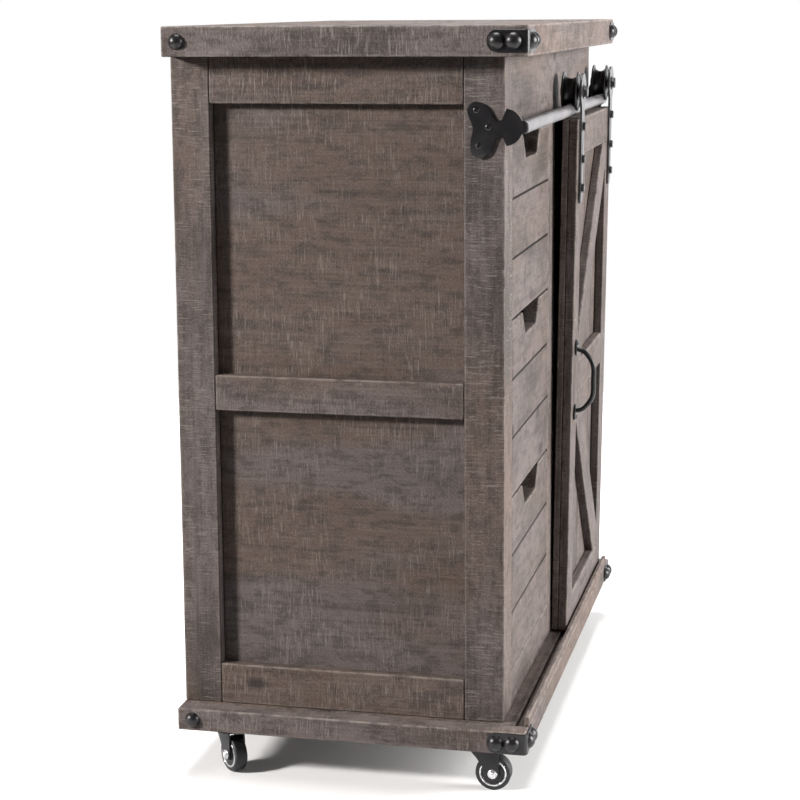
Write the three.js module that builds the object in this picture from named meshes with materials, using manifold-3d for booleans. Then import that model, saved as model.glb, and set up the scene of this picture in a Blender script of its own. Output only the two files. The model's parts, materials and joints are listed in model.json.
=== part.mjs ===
// A rustic cabinet cart on four swivel casters: three drawers on the left, a cupboard on the right
// behind a barn door that hangs from two grooved rollers on a round rod.
// Millimetres, +Z up, the front faces -Y. The origin is the middle of the floor under the cart.

import * as THREE from "three";
import { mergeVertices } from "three/addons/utils/BufferGeometryUtils.js";
import Module from "manifold-3d";

const wasm = await Module();
wasm.setup();

// ---------------------------------------------------------------- driving dimensions

// Top and base boards
const WIDTH = 790;
const DEPTH = 440;
const HEIGHT = 928;
const TOP_THICK = 36;
const BASE_THICK = 28;
const OVERHANG = 32; // of both boards, at the left, the right and the front

// Carcass
const POST_WIDE = 54; // corner and middle posts, seen from the front
const POST_DEEP = 49; // front posts and rails, seen from the side
const REAR_POST_DEEP = 48;
const RECESS = 14; // side rails stand this far out from the side panels
const PANEL_THICK = 6;
const BACK_THICK = 6;
const SIDE_TOP_RAIL = 56;
const SIDE_BOTTOM_RAIL = 51;
const SIDE_MID_RAIL = 44;
const SIDE_MID_DROP = 6; // middle of the side mid rails below the middle of the sides
const FRONT_TOP_RAIL = 97;
const FRONT_BOTTOM_RAIL = 48;
const DIVIDER_THICK = 12;
const FLOOR_THICK = 12;
const SHELF_THICK = 12;
const SHELF_OVER_MID = 13.5; // top of the shelf above the middle of the cupboard's opening
const SHELF_CLEAT = 20;

// Drawers
const DRAWER_COUNT = 3;
const DRAWER_GAP = 3; // round each drawer front
const DRAWER_FRONT_THICK = 20;
const DRAWER_BACK_CLEARANCE = 32; // from a closed drawer box to the back panel
const DRAWER_WALL = 10;
const DRAWER_BOTTOM = 6;
const DRAWER_SIDE_CLEARANCE = 6; // from the drawer box to the posts beside it
const DRAWER_LIFT = 14; // box bottom above the bottom of its front
const DRAWER_DROP = 44; // box top below the top of its front
const PLANKS_PER_FRONT = 3;
const GROOVE_WIDE = 4;
const GROOVE_DEEP = 3;
const NOTCH_TOP = 130;
const NOTCH_BOTTOM = 85;
const NOTCH_DEEP = 30;
const RUNNER_UNDER = 10; // how far a runner reaches under a drawer box
const RUNNER_TALL = 14;

// Rod and its end plates
const ROD_DIAMETER = 16;
const ROD_OVER_OPENING = 15; // rod axis above the top of the front openings
const ROD_OUT = 20.5; // rod axis in front of the cabinet face
const PLATE_THICK = 3;
const PLATE_DISC = 21.7; // radius of the half disc that holds the rod
const PLATE_DISC_BACK = 2; // flat side of the half disc behind the cabinet face
const PLATE_NECK_TALL = 13;
const PLATE_LOBE = 13; // radius of the two outer lobes
const PLATE_MID_LOBE = 10.5;
const PLATE_WEB_REACH = 0.9; // of a lobe's radius, from its middle to the edge of the web between lobes
const PLATE_LOBES = [
  { back: 31.5, up: 17, radius: PLATE_LOBE },
  { back: 19, up: 0, radius: PLATE_MID_LOBE },
  { back: 28.5, up: -23.5, radius: PLATE_LOBE },
]; // measured from the cabinet face and the rod axis

// Sliding door
const DOOR_OVER_MID_POST = 21; // the closed door's inner edge past the middle post's edge
const DOOR_FROM_SIDE = 5; // the closed door's outer edge to the cabinet's right side
const DOOR_LEAN = 0.9; // degrees, the bottom nearer the cabinet
const DOOR_UNDER_ROD = 3;
const DOOR_OVER_BASE = 2.6;
const DOOR_FRAME_THICK = 12;
const DOOR_PANEL_THICK = 9;
const DOOR_STILE = 48;
const DOOR_TOP_RAIL = 50;
const DOOR_BOTTOM_RAIL = 42;
const DOOR_MID_RAIL = 46;
const DOOR_MID_DROP = 4.8; // middle of the mid rail below the middle of the door
const BRACE_WIDE = 49;

// Rollers and hangers
const ROLLER_RADIUS = 26;
const ROLLER_GROOVE = 17; // radius at the bottom of the groove
const ROLLER_LIP = 1.8; // width of each flange at the rim
const ROLLER_ROD_CLEARANCE = 0.7; // from the rod's side to a flange
const ROLLER_TO_DOOR_FACE = 3.5; // roller's side behind the plane of the door face
const ROLLER_CHAMFER = 1;
const GROOVE_STEPS = 8; // flats across the groove
const AXLE_DIAMETER = 8;
const AXLE_CLEARANCE = 0.3; // all round each axle
const ROLLER_SIDE_GAP = 0.5;
const COLLAR_RADIUS = 8;
const COLLAR_BACK_THICK = 3;
const HANGER_HEAD = 24; // radius of the round head
const HANGER_WIDE = 24;
const HANGER_LONG = 151; // roller axis to the lower end
const HANGER_THICK = 3;

// Door handle
const HANDLE_OVER_MID = 1.5; // middle of the handle above the middle of the mid rail
const HANDLE_LONG = 113;
const HANDLE_PAD_WIDE = 20;
const HANDLE_PAD_TALL = 22;
const HANDLE_PAD_THICK = 3;
const HANDLE_REACH = 28; // outer side of the bow in front of the door face
const HANDLE_BAR = 7; // bar diameter
const HANDLE_SHOULDER = 0.86; // of the pad spacing, where the bar is halfway out
const HANDLE_GRIP = 0.42; // of the pad spacing, where the bar is right out

// Door guide along the front of the base
const GUIDE_THICK = 6;
const GUIDE_TALL = 12;
const GUIDE_INSET = 26; // from the ends of the base board
const GUIDE_GROOVE_WIDE = 11;
const GUIDE_GROOVE_DEEP = 6;

// Corner straps and their domed nails
const STRAP_LONG = 47.5;
const STRAP_TALL = 26;
const STRAP_THICK = 2;
const STRAP_ROUND = 12;
const DOME_RADIUS = 10;
const DOME_TALL = 7;
const DOME_PLACES = [17, 36.5]; // from the corner of the board

// Casters
const CASTER_IN_X = 36; // swivel axis to the board's side edge
const CASTER_IN_Y = 56; // swivel axis to the board's front or back edge
const CASTER_PLATE_X = 48;
const CASTER_PLATE_Y = 62;
const CASTER_PLATE_THICK = 3;
const CASTER_BOSS = 13; // radius
const CASTER_TRAIL = 11;
const FORK_TOP_THICK = 2;
const FORK_TOP_RADIUS = 19;
const FORK_TOP_DROP = 6; // board underside to the top of the fork
const FORK_ARM_THICK = 2;
const FORK_ARM_GAP = 0.8; // wheel to each arm
const FORK_HUB_RADIUS = 8;
const FORK_HUB_ARC = [0.92 * Math.PI, 1.82 * Math.PI]; // where an arm's edges meet its round end
const FORK_TONGUE_LONG = 38;
const FORK_TONGUE_WIDE = 18;
const KINGPIN_DIAMETER = 7;
const KINGPIN_CLEARANCE = 0.4;
const KINGPIN_HEAD_RADIUS = 5;
const KINGPIN_HEAD_TALL = 1.5;
const WHEEL_RADIUS = 22;
const WHEEL_WIDE = 17;
const WHEEL_TO_FORK = 6;
const WHEEL_DISH = 2; // depth of the ring-shaped hollow in each side
const WHEEL_HUB = 0.36; // of the wheel's radius
const WHEEL_DISH_INNER = 0.4;
const WHEEL_DISH_OUTER = 0.7;
const TYRE_INNER = 0.75;
const TYRE_SHOULDER = 0.9;
const TYRE_SET_IN = 0.3; // tyre side behind the hub's face
const TYRE_ROUND = 2.5; // of the tyre's edges
const WHEEL_AXLE_DIAMETER = 6;
const CASTERS = [
  { place: "front_left", x: -1, y: -1, turn: 0, tongue: true },
  { place: "front_right", x: 1, y: -1, turn: 30, tongue: true },
  { place: "rear_left", x: -1, y: 1, turn: -45, tongue: false },
  { place: "rear_right", x: 1, y: 1, turn: 45, tongue: false },
]; // turn is the swivel's angle at rest, in degrees about +Z; a tongue reaches out over the wheel

const GAP = 0.3; // between pieces that are cut to fit or that turn

// ---------------------------------------------------------------- derived places

const middle = ([low, high]) => (low + high) / 2;
const span = ([low, high]) => high - low;

const CASTER_HEIGHT = 2 * WHEEL_RADIUS + WHEEL_TO_FORK + FORK_TOP_THICK + FORK_TOP_DROP;
const BASE_TOP = CASTER_HEIGHT + BASE_THICK;
const CEILING = HEIGHT - TOP_THICK;
const SIDE = WIDTH / 2 - OVERHANG; // outer face of the cabinet sides, from the middle
const FACE = -DEPTH / 2 + OVERHANG; // front face of the cabinet
const FACE_BACK = FACE + POST_DEEP; // rear side of the front frame
const BACK = DEPTH / 2;
const BACK_INNER = BACK - BACK_THICK;
const PANEL_OUTER = SIDE - RECESS;
const PANEL_INNER = PANEL_OUTER - PANEL_THICK;
const REAR_POST_FRONT = BACK - REAR_POST_DEEP;
const OPENING_BOTTOM = BASE_TOP + FRONT_BOTTOM_RAIL;
const OPENING_TOP = CEILING - FRONT_TOP_RAIL;
const SIDE_MID_HEIGHT = middle([BASE_TOP, CEILING]) - SIDE_MID_DROP;
const SHELF_HEIGHT = middle([OPENING_BOTTOM, OPENING_TOP]) + SHELF_OVER_MID;
const POST_INNER = SIDE - POST_WIDE;
const MID_HALF = POST_WIDE / 2;
const DIVIDER_HALF = DIVIDER_THICK / 2;

const DRAWER_PITCH = (OPENING_TOP - OPENING_BOTTOM) / DRAWER_COUNT;
const DRAWER_BOX_X = [-POST_INNER + DRAWER_SIDE_CLEARANCE, -MID_HALF - DRAWER_SIDE_CLEARANCE];
const DRAWERS = Array.from({ length: DRAWER_COUNT }, (_, i) => {
  const bottom = OPENING_BOTTOM + i * DRAWER_PITCH + DRAWER_GAP / 2;
  const top = bottom + DRAWER_PITCH - DRAWER_GAP;
  return { number: i + 1, bottom, top, boxBottom: bottom + DRAWER_LIFT, boxTop: top - DRAWER_DROP };
});

const ROD_Y = FACE - ROD_OUT;
const ROD_HEIGHT = OPENING_TOP + ROD_OVER_OPENING;
const GROOVE_HALF = ROD_DIAMETER / 2 + ROLLER_ROD_CLEARANCE;
const ROLLER_HALF = GROOVE_HALF + ROLLER_LIP;
const ROLLER_HEIGHT = ROD_HEIGHT + ROD_DIAMETER / 2 + GAP + ROLLER_GROOVE;
const DOOR_RIGHT = SIDE - DOOR_FROM_SIDE;
const DOOR_LEFT = MID_HALF - DOOR_OVER_MID_POST;
// Heights inside the door are counted from the roller axis.
const DOOR_TOP = ROD_HEIGHT - ROD_DIAMETER / 2 - DOOR_UNDER_ROD - ROLLER_HEIGHT;
const DOOR_BOTTOM = BASE_TOP + DOOR_OVER_BASE - ROLLER_HEIGHT;
const DOOR_MID = middle([DOOR_BOTTOM, DOOR_TOP]) - DOOR_MID_DROP;
const DOOR_FACE = -ROLLER_HALF - ROLLER_TO_DOOR_FACE;

// ---------------------------------------------------------------- materials

function finish(color, roughness, metalness) {
  return () => new THREE.MeshStandardMaterial({ color, roughness, metalness });
}
const wood = finish(0x8d8178, 0.75, 0);
const blackSteel = finish(0x1c1b1f, 0.35, 0.7);
const rodSteel = finish(0x55545a, 0.3, 0.8);
const tyre = finish(0x161618, 0.6, 0);

// ---------------------------------------------------------------- shapes and solids

function box(x, y, z) {
  const g = new THREE.BoxGeometry(span(x), span(y), span(z));
  return g.translate(middle(x), middle(y), middle(z));
}

// A closed geometry as a solid that can be joined and cut.
function solid(geometry) {
  const bare = geometry.clone();
  bare.deleteAttribute("normal");
  bare.deleteAttribute("uv");
  const merged = mergeVertices(bare, 1e-4);
  const mesh = new wasm.Mesh({
    numProp: 3,
    vertProperties: merged.attributes.position.array,
    triVerts: new Uint32Array(merged.index.array),
  });
  return new wasm.Manifold(mesh);
}

function geometryOf(shape) {
  const mesh = shape.getMesh();
  const g = new THREE.BufferGeometry();
  g.setAttribute("position", new THREE.BufferAttribute(mesh.vertProperties, 3));
  g.setIndex(new THREE.BufferAttribute(mesh.triVerts, 1));
  g.computeVertexNormals();
  return g;
}

function joined(first, ...others) {
  return others.reduce((whole, g) => whole.add(solid(g)), solid(first));
}

function join(first, ...others) {
  return geometryOf(joined(first, ...others));
}

function cut(from, ...tools) {
  return geometryOf(tools.reduce((whole, g) => whole.subtract(solid(g)), solid(from)));
}

// An outline drawn in X (right) and Z (up), made into a plate between two depths in Y.
function plateXZ(shape, [front, back], curveSegments = 12) {
  const g = new THREE.ExtrudeGeometry(shape, { depth: back - front, bevelEnabled: false, curveSegments });
  return g.rotateX(Math.PI / 2).translate(0, back, 0);
}

// An outline drawn in Y (right) and Z (up), made into a plate between two places in X.
function plateYZ(shape, [low, high], curveSegments = 12) {
  const g = new THREE.ExtrudeGeometry(shape, { depth: high - low, bevelEnabled: false, curveSegments });
  return g.rotateX(Math.PI / 2).rotateZ(Math.PI / 2).translate(low, 0, 0);
}

// A round bar or disc along one axis, between two places on it.
function round(axis, radius, [low, high], segments = 24) {
  const g = new THREE.CylinderGeometry(radius, radius, high - low, segments);
  g.translate(0, (low + high) / 2, 0);
  if (axis === "x") g.rotateZ(-Math.PI / 2);
  if (axis === "z") g.rotateX(Math.PI / 2);
  return g;
}

function outline(points) {
  return new THREE.Shape(points.map(([x, y]) => new THREE.Vector2(x, y)));
}

function circle(x, y, radius) {
  return new THREE.Shape().absarc(x, y, radius, 0, 2 * Math.PI, false);
}

const cart = new THREE.Group();

function add(parent, name, geometry, material) {
  const mesh = new THREE.Mesh(geometry, material());
  mesh.name = name;
  parent.add(mesh);
  return mesh;
}

// A plain board, placed by its middle.
function board(name, x, y, z, material = wood) {
  const g = new THREE.BoxGeometry(span(x), span(y), span(z));
  add(cart, name, g, material).position.set(middle(x), middle(y), middle(z));
}

const SIDES = [
  { place: "left", sign: -1 },
  { place: "right", sign: 1 },
];

// The range between two distances from the middle, on one side of the cabinet.
function across(sign, inner, outer) {
  return sign < 0 ? [-outer, -inner] : [inner, outer];
}

// ---------------------------------------------------------------- boards and carcass

function makeBoards() {
  board("top_board", [-WIDTH / 2, WIDTH / 2], [-DEPTH / 2, BACK], [CEILING, HEIGHT]);

  const reach = WIDTH / 2 - GUIDE_INSET;
  const guideBack = -DEPTH / 2 + GUIDE_THICK;
  const slab = box([-WIDTH / 2, WIDTH / 2], [-DEPTH / 2, BACK], [CASTER_HEIGHT, BASE_TOP]);
  const groove = box(
    [-reach, reach],
    [guideBack, guideBack + GUIDE_GROOVE_WIDE],
    [BASE_TOP - GUIDE_GROOVE_DEEP, BASE_TOP + 1],
  );
  add(cart, "base_board", cut(slab, groove), wood);
  board("door_guide", [-reach, reach], [-DEPTH / 2, guideBack], [BASE_TOP, BASE_TOP + GUIDE_TALL]);
}

function makeSide({ place, sign }) {
  const upright = [BASE_TOP, CEILING];
  const between = [FACE_BACK, REAR_POST_FRONT];
  board(`front_post_${place}`, across(sign, POST_INNER, SIDE), [FACE, FACE_BACK], upright);
  board(`rear_post_${place}`, across(sign, PANEL_INNER, SIDE), [REAR_POST_FRONT, BACK], upright);

  const rails = {
    top: [CEILING - SIDE_TOP_RAIL, CEILING],
    mid: [SIDE_MID_HEIGHT - SIDE_MID_RAIL / 2, SIDE_MID_HEIGHT + SIDE_MID_RAIL / 2],
    bottom: [BASE_TOP, BASE_TOP + SIDE_BOTTOM_RAIL],
  };
  for (const [level, z] of Object.entries(rails)) {
    board(`${place}_${level}_rail`, across(sign, PANEL_OUTER, SIDE), between, z);
  }

  const panel = box(across(sign, PANEL_INNER, PANEL_OUTER), between, upright);
  const shelfCleat = box(
    across(sign, PANEL_INNER - SHELF_CLEAT, PANEL_OUTER),
    between,
    [SHELF_HEIGHT - SHELF_THICK - SHELF_CLEAT, SHELF_HEIGHT - SHELF_THICK],
  );
  const cleats = sign < 0 ? runners([-PANEL_OUTER, DRAWER_BOX_X[0] + RUNNER_UNDER]) : [shelfCleat];
  add(cart, `${place}_panel`, join(panel, ...cleats), wood);
}

// One runner under each drawer box, between two places in X.
function runners(x) {
  return DRAWERS.map(({ boxBottom }) =>
    box(x, [FACE_BACK, REAR_POST_FRONT], [boxBottom - GAP - RUNNER_TALL, boxBottom - GAP]),
  );
}

function makeFrontFrame() {
  const y = [FACE, FACE_BACK];
  const x = [-POST_INNER, POST_INNER];
  board("front_top_rail", x, y, [OPENING_TOP, CEILING]);
  board("front_bottom_rail", x, y, [BASE_TOP, OPENING_BOTTOM]);
  board("mid_post", [-MID_HALF, MID_HALF], y, [OPENING_BOTTOM, OPENING_TOP]);
}

function makeInside() {
  const inside = [FACE_BACK, BACK_INNER];
  board("floor_panel", [-PANEL_INNER, PANEL_INNER], inside, [OPENING_BOTTOM - FLOOR_THICK, OPENING_BOTTOM]);
  board("back_panel", [-PANEL_INNER, PANEL_INNER], [BACK_INNER, BACK], [BASE_TOP, CEILING]);
  board(
    "shelf",
    [DIVIDER_HALF, PANEL_INNER],
    inside,
    [SHELF_HEIGHT - SHELF_THICK, SHELF_HEIGHT],
  );
  const divider = box([-DIVIDER_HALF, DIVIDER_HALF], inside, [OPENING_BOTTOM, CEILING]);
  const shelfCleat = box(
    [0, DIVIDER_HALF + SHELF_CLEAT],
    [FACE_BACK, REAR_POST_FRONT],
    [SHELF_HEIGHT - SHELF_THICK - SHELF_CLEAT, SHELF_HEIGHT - SHELF_THICK],
  );
  const cleats = runners([DRAWER_BOX_X[1] - RUNNER_UNDER, 0]);
  add(cart, "divider_panel", join(divider, shelfCleat, ...cleats), wood);
}

// ---------------------------------------------------------------- drawers

function makeDrawer({ number, bottom, top, boxBottom, boxTop }) {
  const x = [-POST_INNER + DRAWER_GAP / 2, -MID_HALF - DRAWER_GAP / 2];
  const back = FACE + DRAWER_FRONT_THICK;
  const centre = middle(x);
  const notch = outline([
    [centre - NOTCH_BOTTOM / 2, top - NOTCH_DEEP],
    [centre + NOTCH_BOTTOM / 2, top - NOTCH_DEEP],
    [centre + NOTCH_TOP / 2, top],
    [centre + NOTCH_TOP / 2, top + 1],
    [centre - NOTCH_TOP / 2, top + 1],
    [centre - NOTCH_TOP / 2, top],
  ]);
  const cuts = [plateXZ(notch, [FACE - 1, back + 1])];
  for (let plank = 1; plank < PLANKS_PER_FRONT; plank++) {
    const z = bottom + ((top - bottom) * plank) / PLANKS_PER_FRONT;
    const vee = outline([
      [FACE - 1, z - GROOVE_WIDE / 2],
      [FACE, z - GROOVE_WIDE / 2],
      [FACE + GROOVE_DEEP, z],
      [FACE, z + GROOVE_WIDE / 2],
      [FACE - 1, z + GROOVE_WIDE / 2],
    ]);
    cuts.push(plateYZ(vee, [x[0] - 1, x[1] + 1]));
  }
  add(cart, `drawer_front_${number}`, cut(box(x, [FACE, back], [bottom, top]), ...cuts), wood);

  const boxY = [back, BACK_INNER - DRAWER_BACK_CLEARANCE];
  const outer = box(DRAWER_BOX_X, boxY, [boxBottom, boxTop]);
  const hollow = box(
    [DRAWER_BOX_X[0] + DRAWER_WALL, DRAWER_BOX_X[1] - DRAWER_WALL],
    [boxY[0] + DRAWER_WALL, boxY[1] - DRAWER_WALL],
    [boxBottom + DRAWER_BOTTOM, boxTop + 1],
  );
  add(cart, `drawer_box_${number}`, cut(outer, hollow), wood);
}

// ---------------------------------------------------------------- rod, plates and straps

function makeRod() {
  const rod = add(cart, "rod", round("x", ROD_DIAMETER / 2, [-SIDE, SIDE]), rodSteel);
  rod.position.set(0, ROD_Y, ROD_HEIGHT);
}

// A flat plate on the cabinet's side: three lobes with screws, a neck and a half disc for the rod.
function makeRodPlate({ place, sign }) {
  const x = across(sign, SIDE, SIDE + PLATE_THICK);
  const [upper, middleLobe, lower] = PLATE_LOBES;
  const neckHalf = PLATE_NECK_TALL / 2;
  const waist = middleLobe.back - middleLobe.radius;
  const web = outline([
    [upper.back + upper.radius * PLATE_WEB_REACH, upper.up],
    [lower.back + lower.radius * PLATE_WEB_REACH, lower.up],
    [lower.back - lower.radius * PLATE_WEB_REACH, lower.up],
    [waist, -neckHalf],
    [waist, neckHalf],
    [upper.back - upper.radius * PLATE_WEB_REACH, upper.up],
  ]);
  const neck = outline([
    [-1, -neckHalf],
    [middleLobe.back, -neckHalf],
    [middleLobe.back, neckHalf],
    [-1, neckHalf],
  ]);
  const edge = Math.asin(PLATE_DISC_BACK / PLATE_DISC);
  const disc = new THREE.Shape().absarc(0, 0, PLATE_DISC, Math.PI / 2 - edge, 1.5 * Math.PI + edge, false);
  const flat = (shape) => plateYZ(shape, x, 10);
  const lobes = PLATE_LOBES.map(({ back, up, radius }) => flat(circle(back, up, radius)));
  const plate = add(cart, `rod_plate_${place}`, join(flat(disc), flat(neck), flat(web), ...lobes), blackSteel);
  plate.position.set(0, FACE, ROD_HEIGHT);
}

// A domed nail head that stands on the plane Z = 0.
function dome() {
  const ball = (DOME_RADIUS ** 2 + DOME_TALL ** 2) / (2 * DOME_TALL);
  const reach = Math.asin(DOME_RADIUS / ball);
  const steps = 2;
  const profile = [new THREE.Vector2(0, -STRAP_THICK / 2)];
  for (let i = 0; i <= steps; i++) {
    const angle = reach * (1 - i / steps);
    const radius = i === steps ? 0 : ball * Math.sin(angle);
    if (i === 0) profile.push(new THREE.Vector2(radius, -STRAP_THICK / 2));
    profile.push(new THREE.Vector2(radius, ball * Math.cos(angle) - ball + DOME_TALL));
  }
  return new THREE.LatheGeometry(profile, 10).rotateX(Math.PI / 2);
}

// One leaf of a corner strap in X and Y, lying on Z = 0, its corner at the origin.
function strapLeaf() {
  const half = STRAP_TALL / 2;
  const leaf = new THREE.Shape();
  leaf.moveTo(-STRAP_THICK, -half);
  leaf.lineTo(STRAP_LONG - STRAP_ROUND, -half);
  leaf.absarc(STRAP_LONG - STRAP_ROUND, -half + STRAP_ROUND, STRAP_ROUND, -Math.PI / 2, 0, false);
  leaf.absarc(STRAP_LONG - STRAP_ROUND, half - STRAP_ROUND, STRAP_ROUND, 0, Math.PI / 2, false);
  leaf.lineTo(-STRAP_THICK, half);
  const plate = new THREE.ExtrudeGeometry(leaf, { depth: STRAP_THICK, bevelEnabled: false, curveSegments: 5 });
  const nails = DOME_PLACES.map((x) => dome().translate(x, 0, STRAP_THICK));
  return join(plate, ...nails);
}

// A strap round a front corner: one leaf on the side edge of the board, one on its front edge.
function makeStrap({ place, sign }, level, z) {
  const frontLeaf = strapLeaf().rotateX(Math.PI / 2);
  const sideLeaf = strapLeaf().rotateX(Math.PI / 2).rotateZ(Math.PI / 2).scale(-1, 1, 1);
  const index = sideLeaf.index.array;
  for (let i = 0; i < index.length; i += 3) [index[i], index[i + 1]] = [index[i + 1], index[i]];
  const strap = joined(frontLeaf, sideLeaf);
  const turned = sign < 0 ? strap : strap.mirror([1, 0, 0]);
  const mesh = add(cart, `strap_${level}_${place}`, geometryOf(turned), blackSteel);
  mesh.position.set((sign * WIDTH) / 2, -DEPTH / 2, z);
}

// ---------------------------------------------------------------- sliding door

const door = new THREE.Group();

function doorPiece(name, x, y, z) {
  const g = new THREE.BoxGeometry(span(x), span(y), span(z));
  add(door, name, g, wood).position.set(middle(x), middle(y), middle(z));
}

// A brace from corner to corner of one opening of the door frame, its ends cut to the corners.
function makeBrace(name, y, [left, right], [low, high], rising) {
  const wide = right - left;
  const tall = high - low;
  const diagonal = Math.hypot(wide, tall);
  const alongX = ((BRACE_WIDE / 2) * diagonal) / tall;
  const alongZ = ((BRACE_WIDE / 2) * diagonal) / wide;
  const corners = [
    [0, 0],
    [alongX, 0],
    [wide, tall - alongZ],
    [wide, tall],
    [wide - alongX, tall],
    [0, alongZ],
  ];
  const shape = rising ? corners : corners.map(([x, z]) => [x, tall - z]).reverse();
  const g = plateXZ(outline(shape), y);
  add(door, name, g, wood).position.set(left, 0, low);
}

function makeDoorFrame() {
  const frame = [DOOR_FACE, DOOR_FACE + DOOR_FRAME_THICK];
  const panel = [frame[1] + GAP, frame[1] + GAP + DOOR_PANEL_THICK];
  const tall = [DOOR_BOTTOM, DOOR_TOP];
  doorPiece("door_panel", [DOOR_LEFT, DOOR_RIGHT], panel, tall);
  doorPiece("door_stile_left", [DOOR_LEFT, DOOR_LEFT + DOOR_STILE], frame, tall);
  doorPiece("door_stile_right", [DOOR_RIGHT - DOOR_STILE, DOOR_RIGHT], frame, tall);

  const between = [DOOR_LEFT + DOOR_STILE + GAP, DOOR_RIGHT - DOOR_STILE - GAP];
  const midLow = DOOR_MID - DOOR_MID_RAIL / 2;
  const midHigh = DOOR_MID + DOOR_MID_RAIL / 2;
  doorPiece("door_rail_top", between, frame, [DOOR_TOP - DOOR_TOP_RAIL, DOOR_TOP]);
  doorPiece("door_rail_mid", between, frame, [midLow, midHigh]);
  doorPiece("door_rail_bottom", between, frame, [DOOR_BOTTOM, DOOR_BOTTOM + DOOR_BOTTOM_RAIL]);

  const upper = [midHigh + GAP, DOOR_TOP - DOOR_TOP_RAIL - GAP];
  const lower = [DOOR_BOTTOM + DOOR_BOTTOM_RAIL + GAP, midLow - GAP];
  makeBrace("door_brace_upper", frame, between, upper, true);
  makeBrace("door_brace_lower", frame, between, lower, false);
}

// A flat strap with a round head, and the axle that carries the roller behind it.
function makeHanger(place, x) {
  const back = DOOR_FACE - GAP;
  const half = HANGER_WIDE / 2;
  const strap = new THREE.Shape();
  strap.moveTo(half, 0);
  strap.lineTo(-half, 0);
  strap.lineTo(-half, half - HANGER_LONG);
  strap.absarc(0, half - HANGER_LONG, half, Math.PI, 2 * Math.PI, false);
  const y = [back - HANGER_THICK, back];
  const axleEnd = ROLLER_HALF + ROLLER_SIDE_GAP;
  const hanger = join(
    plateXZ(circle(0, 0, HANGER_HEAD), y, 16),
    plateXZ(strap, y, 8),
    round("y", COLLAR_RADIUS, [back - 1, -axleEnd], 16),
    round("y", AXLE_DIAMETER / 2, [back - 1, axleEnd + 1], 16),
    round("y", COLLAR_RADIUS, [axleEnd, axleEnd + COLLAR_BACK_THICK], 16),
  );
  add(door, `hanger_${place}`, hanger, blackSteel).position.x = x;
}

function rollerProfile() {
  const bore = AXLE_DIAMETER / 2 + AXLE_CLEARANCE;
  const half = ROLLER_HALF;
  const grooveDeep = ROLLER_RADIUS - ROLLER_GROOVE;
  const points = [
    [bore, -half],
    [ROLLER_RADIUS - ROLLER_CHAMFER, -half],
    [ROLLER_RADIUS, -half + ROLLER_CHAMFER / 2],
  ];
  for (let i = 0; i <= GROOVE_STEPS; i++) {
    const angle = Math.PI * (i / GROOVE_STEPS);
    points.push([ROLLER_RADIUS - grooveDeep * Math.sin(angle), -GROOVE_HALF * Math.cos(angle)]);
  }
  points.push(
    [ROLLER_RADIUS, half - ROLLER_CHAMFER / 2],
    [ROLLER_RADIUS - ROLLER_CHAMFER, half],
    [bore, half],
    [bore, -half],
  );
  return points.map(([r, h]) => new THREE.Vector2(r, h));
}

function makeRoller(place, x) {
  add(door, `roller_${place}`, new THREE.LatheGeometry(rollerProfile(), 24), blackSteel).position.x = x;
}

// Two screwed pads and a round bar bowed out between them.
function makeHandle(x) {
  const face = DOOR_FACE - GAP;
  const padMiddle = (HANDLE_LONG - HANDLE_PAD_TALL) / 2;
  const pad = (z) => {
    const shape = new THREE.Shape().absellipse(0, z, HANDLE_PAD_WIDE / 2, HANDLE_PAD_TALL / 2, 0, 2 * Math.PI);
    return plateXZ(shape, [face - HANDLE_PAD_THICK, face], 7);
  };
  const out = face + GAP - HANDLE_REACH + HANDLE_BAR / 2;
  const start = face - HANDLE_PAD_THICK / 2;
  const route = new THREE.CatmullRomCurve3([
    new THREE.Vector3(0, start, -padMiddle),
    new THREE.Vector3(0, (start + out) / 2, -padMiddle * HANDLE_SHOULDER),
    new THREE.Vector3(0, out, -padMiddle * HANDLE_GRIP),
    new THREE.Vector3(0, out, padMiddle * HANDLE_GRIP),
    new THREE.Vector3(0, (start + out) / 2, padMiddle * HANDLE_SHOULDER),
    new THREE.Vector3(0, start, padMiddle),
  ]);
  const section = circle(0, 0, HANDLE_BAR / 2);
  const bar = new THREE.ExtrudeGeometry(section, { steps: 14, curveSegments: 4, extrudePath: route });
  const handle = join(pad(-padMiddle), pad(padMiddle), bar);
  add(door, "handle", handle, blackSteel).position.set(x, 0, DOOR_MID + HANDLE_OVER_MID);
}

function makeDoor() {
  makeDoorFrame();
  const hangers = [
    { place: "left", x: DOOR_LEFT + DOOR_STILE / 2 },
    { place: "right", x: DOOR_RIGHT - DOOR_STILE / 2 },
  ];
  for (const { place, x } of hangers) {
    makeHanger(place, x);
    makeRoller(place, x);
  }
  makeHandle(DOOR_LEFT + DOOR_STILE / 2);
  // The leaning rollers sit square over the rod.
  const lean = THREE.MathUtils.degToRad(DOOR_LEAN);
  const overRod = ROLLER_HEIGHT - ROD_HEIGHT;
  door.position.set(0, ROD_Y - overRod * Math.sin(lean), ROD_HEIGHT + overRod * Math.cos(lean));
  door.rotation.x = lean;
  cart.add(door);
}

// ---------------------------------------------------------------- casters

const FORK_TOP = CASTER_HEIGHT - FORK_TOP_DROP;
const FORK_UNDER = FORK_TOP - FORK_TOP_THICK;
const ARM_INNER = WHEEL_WIDE / 2 + FORK_ARM_GAP;
const ARM_OUTER = ARM_INNER + FORK_ARM_THICK;

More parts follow.
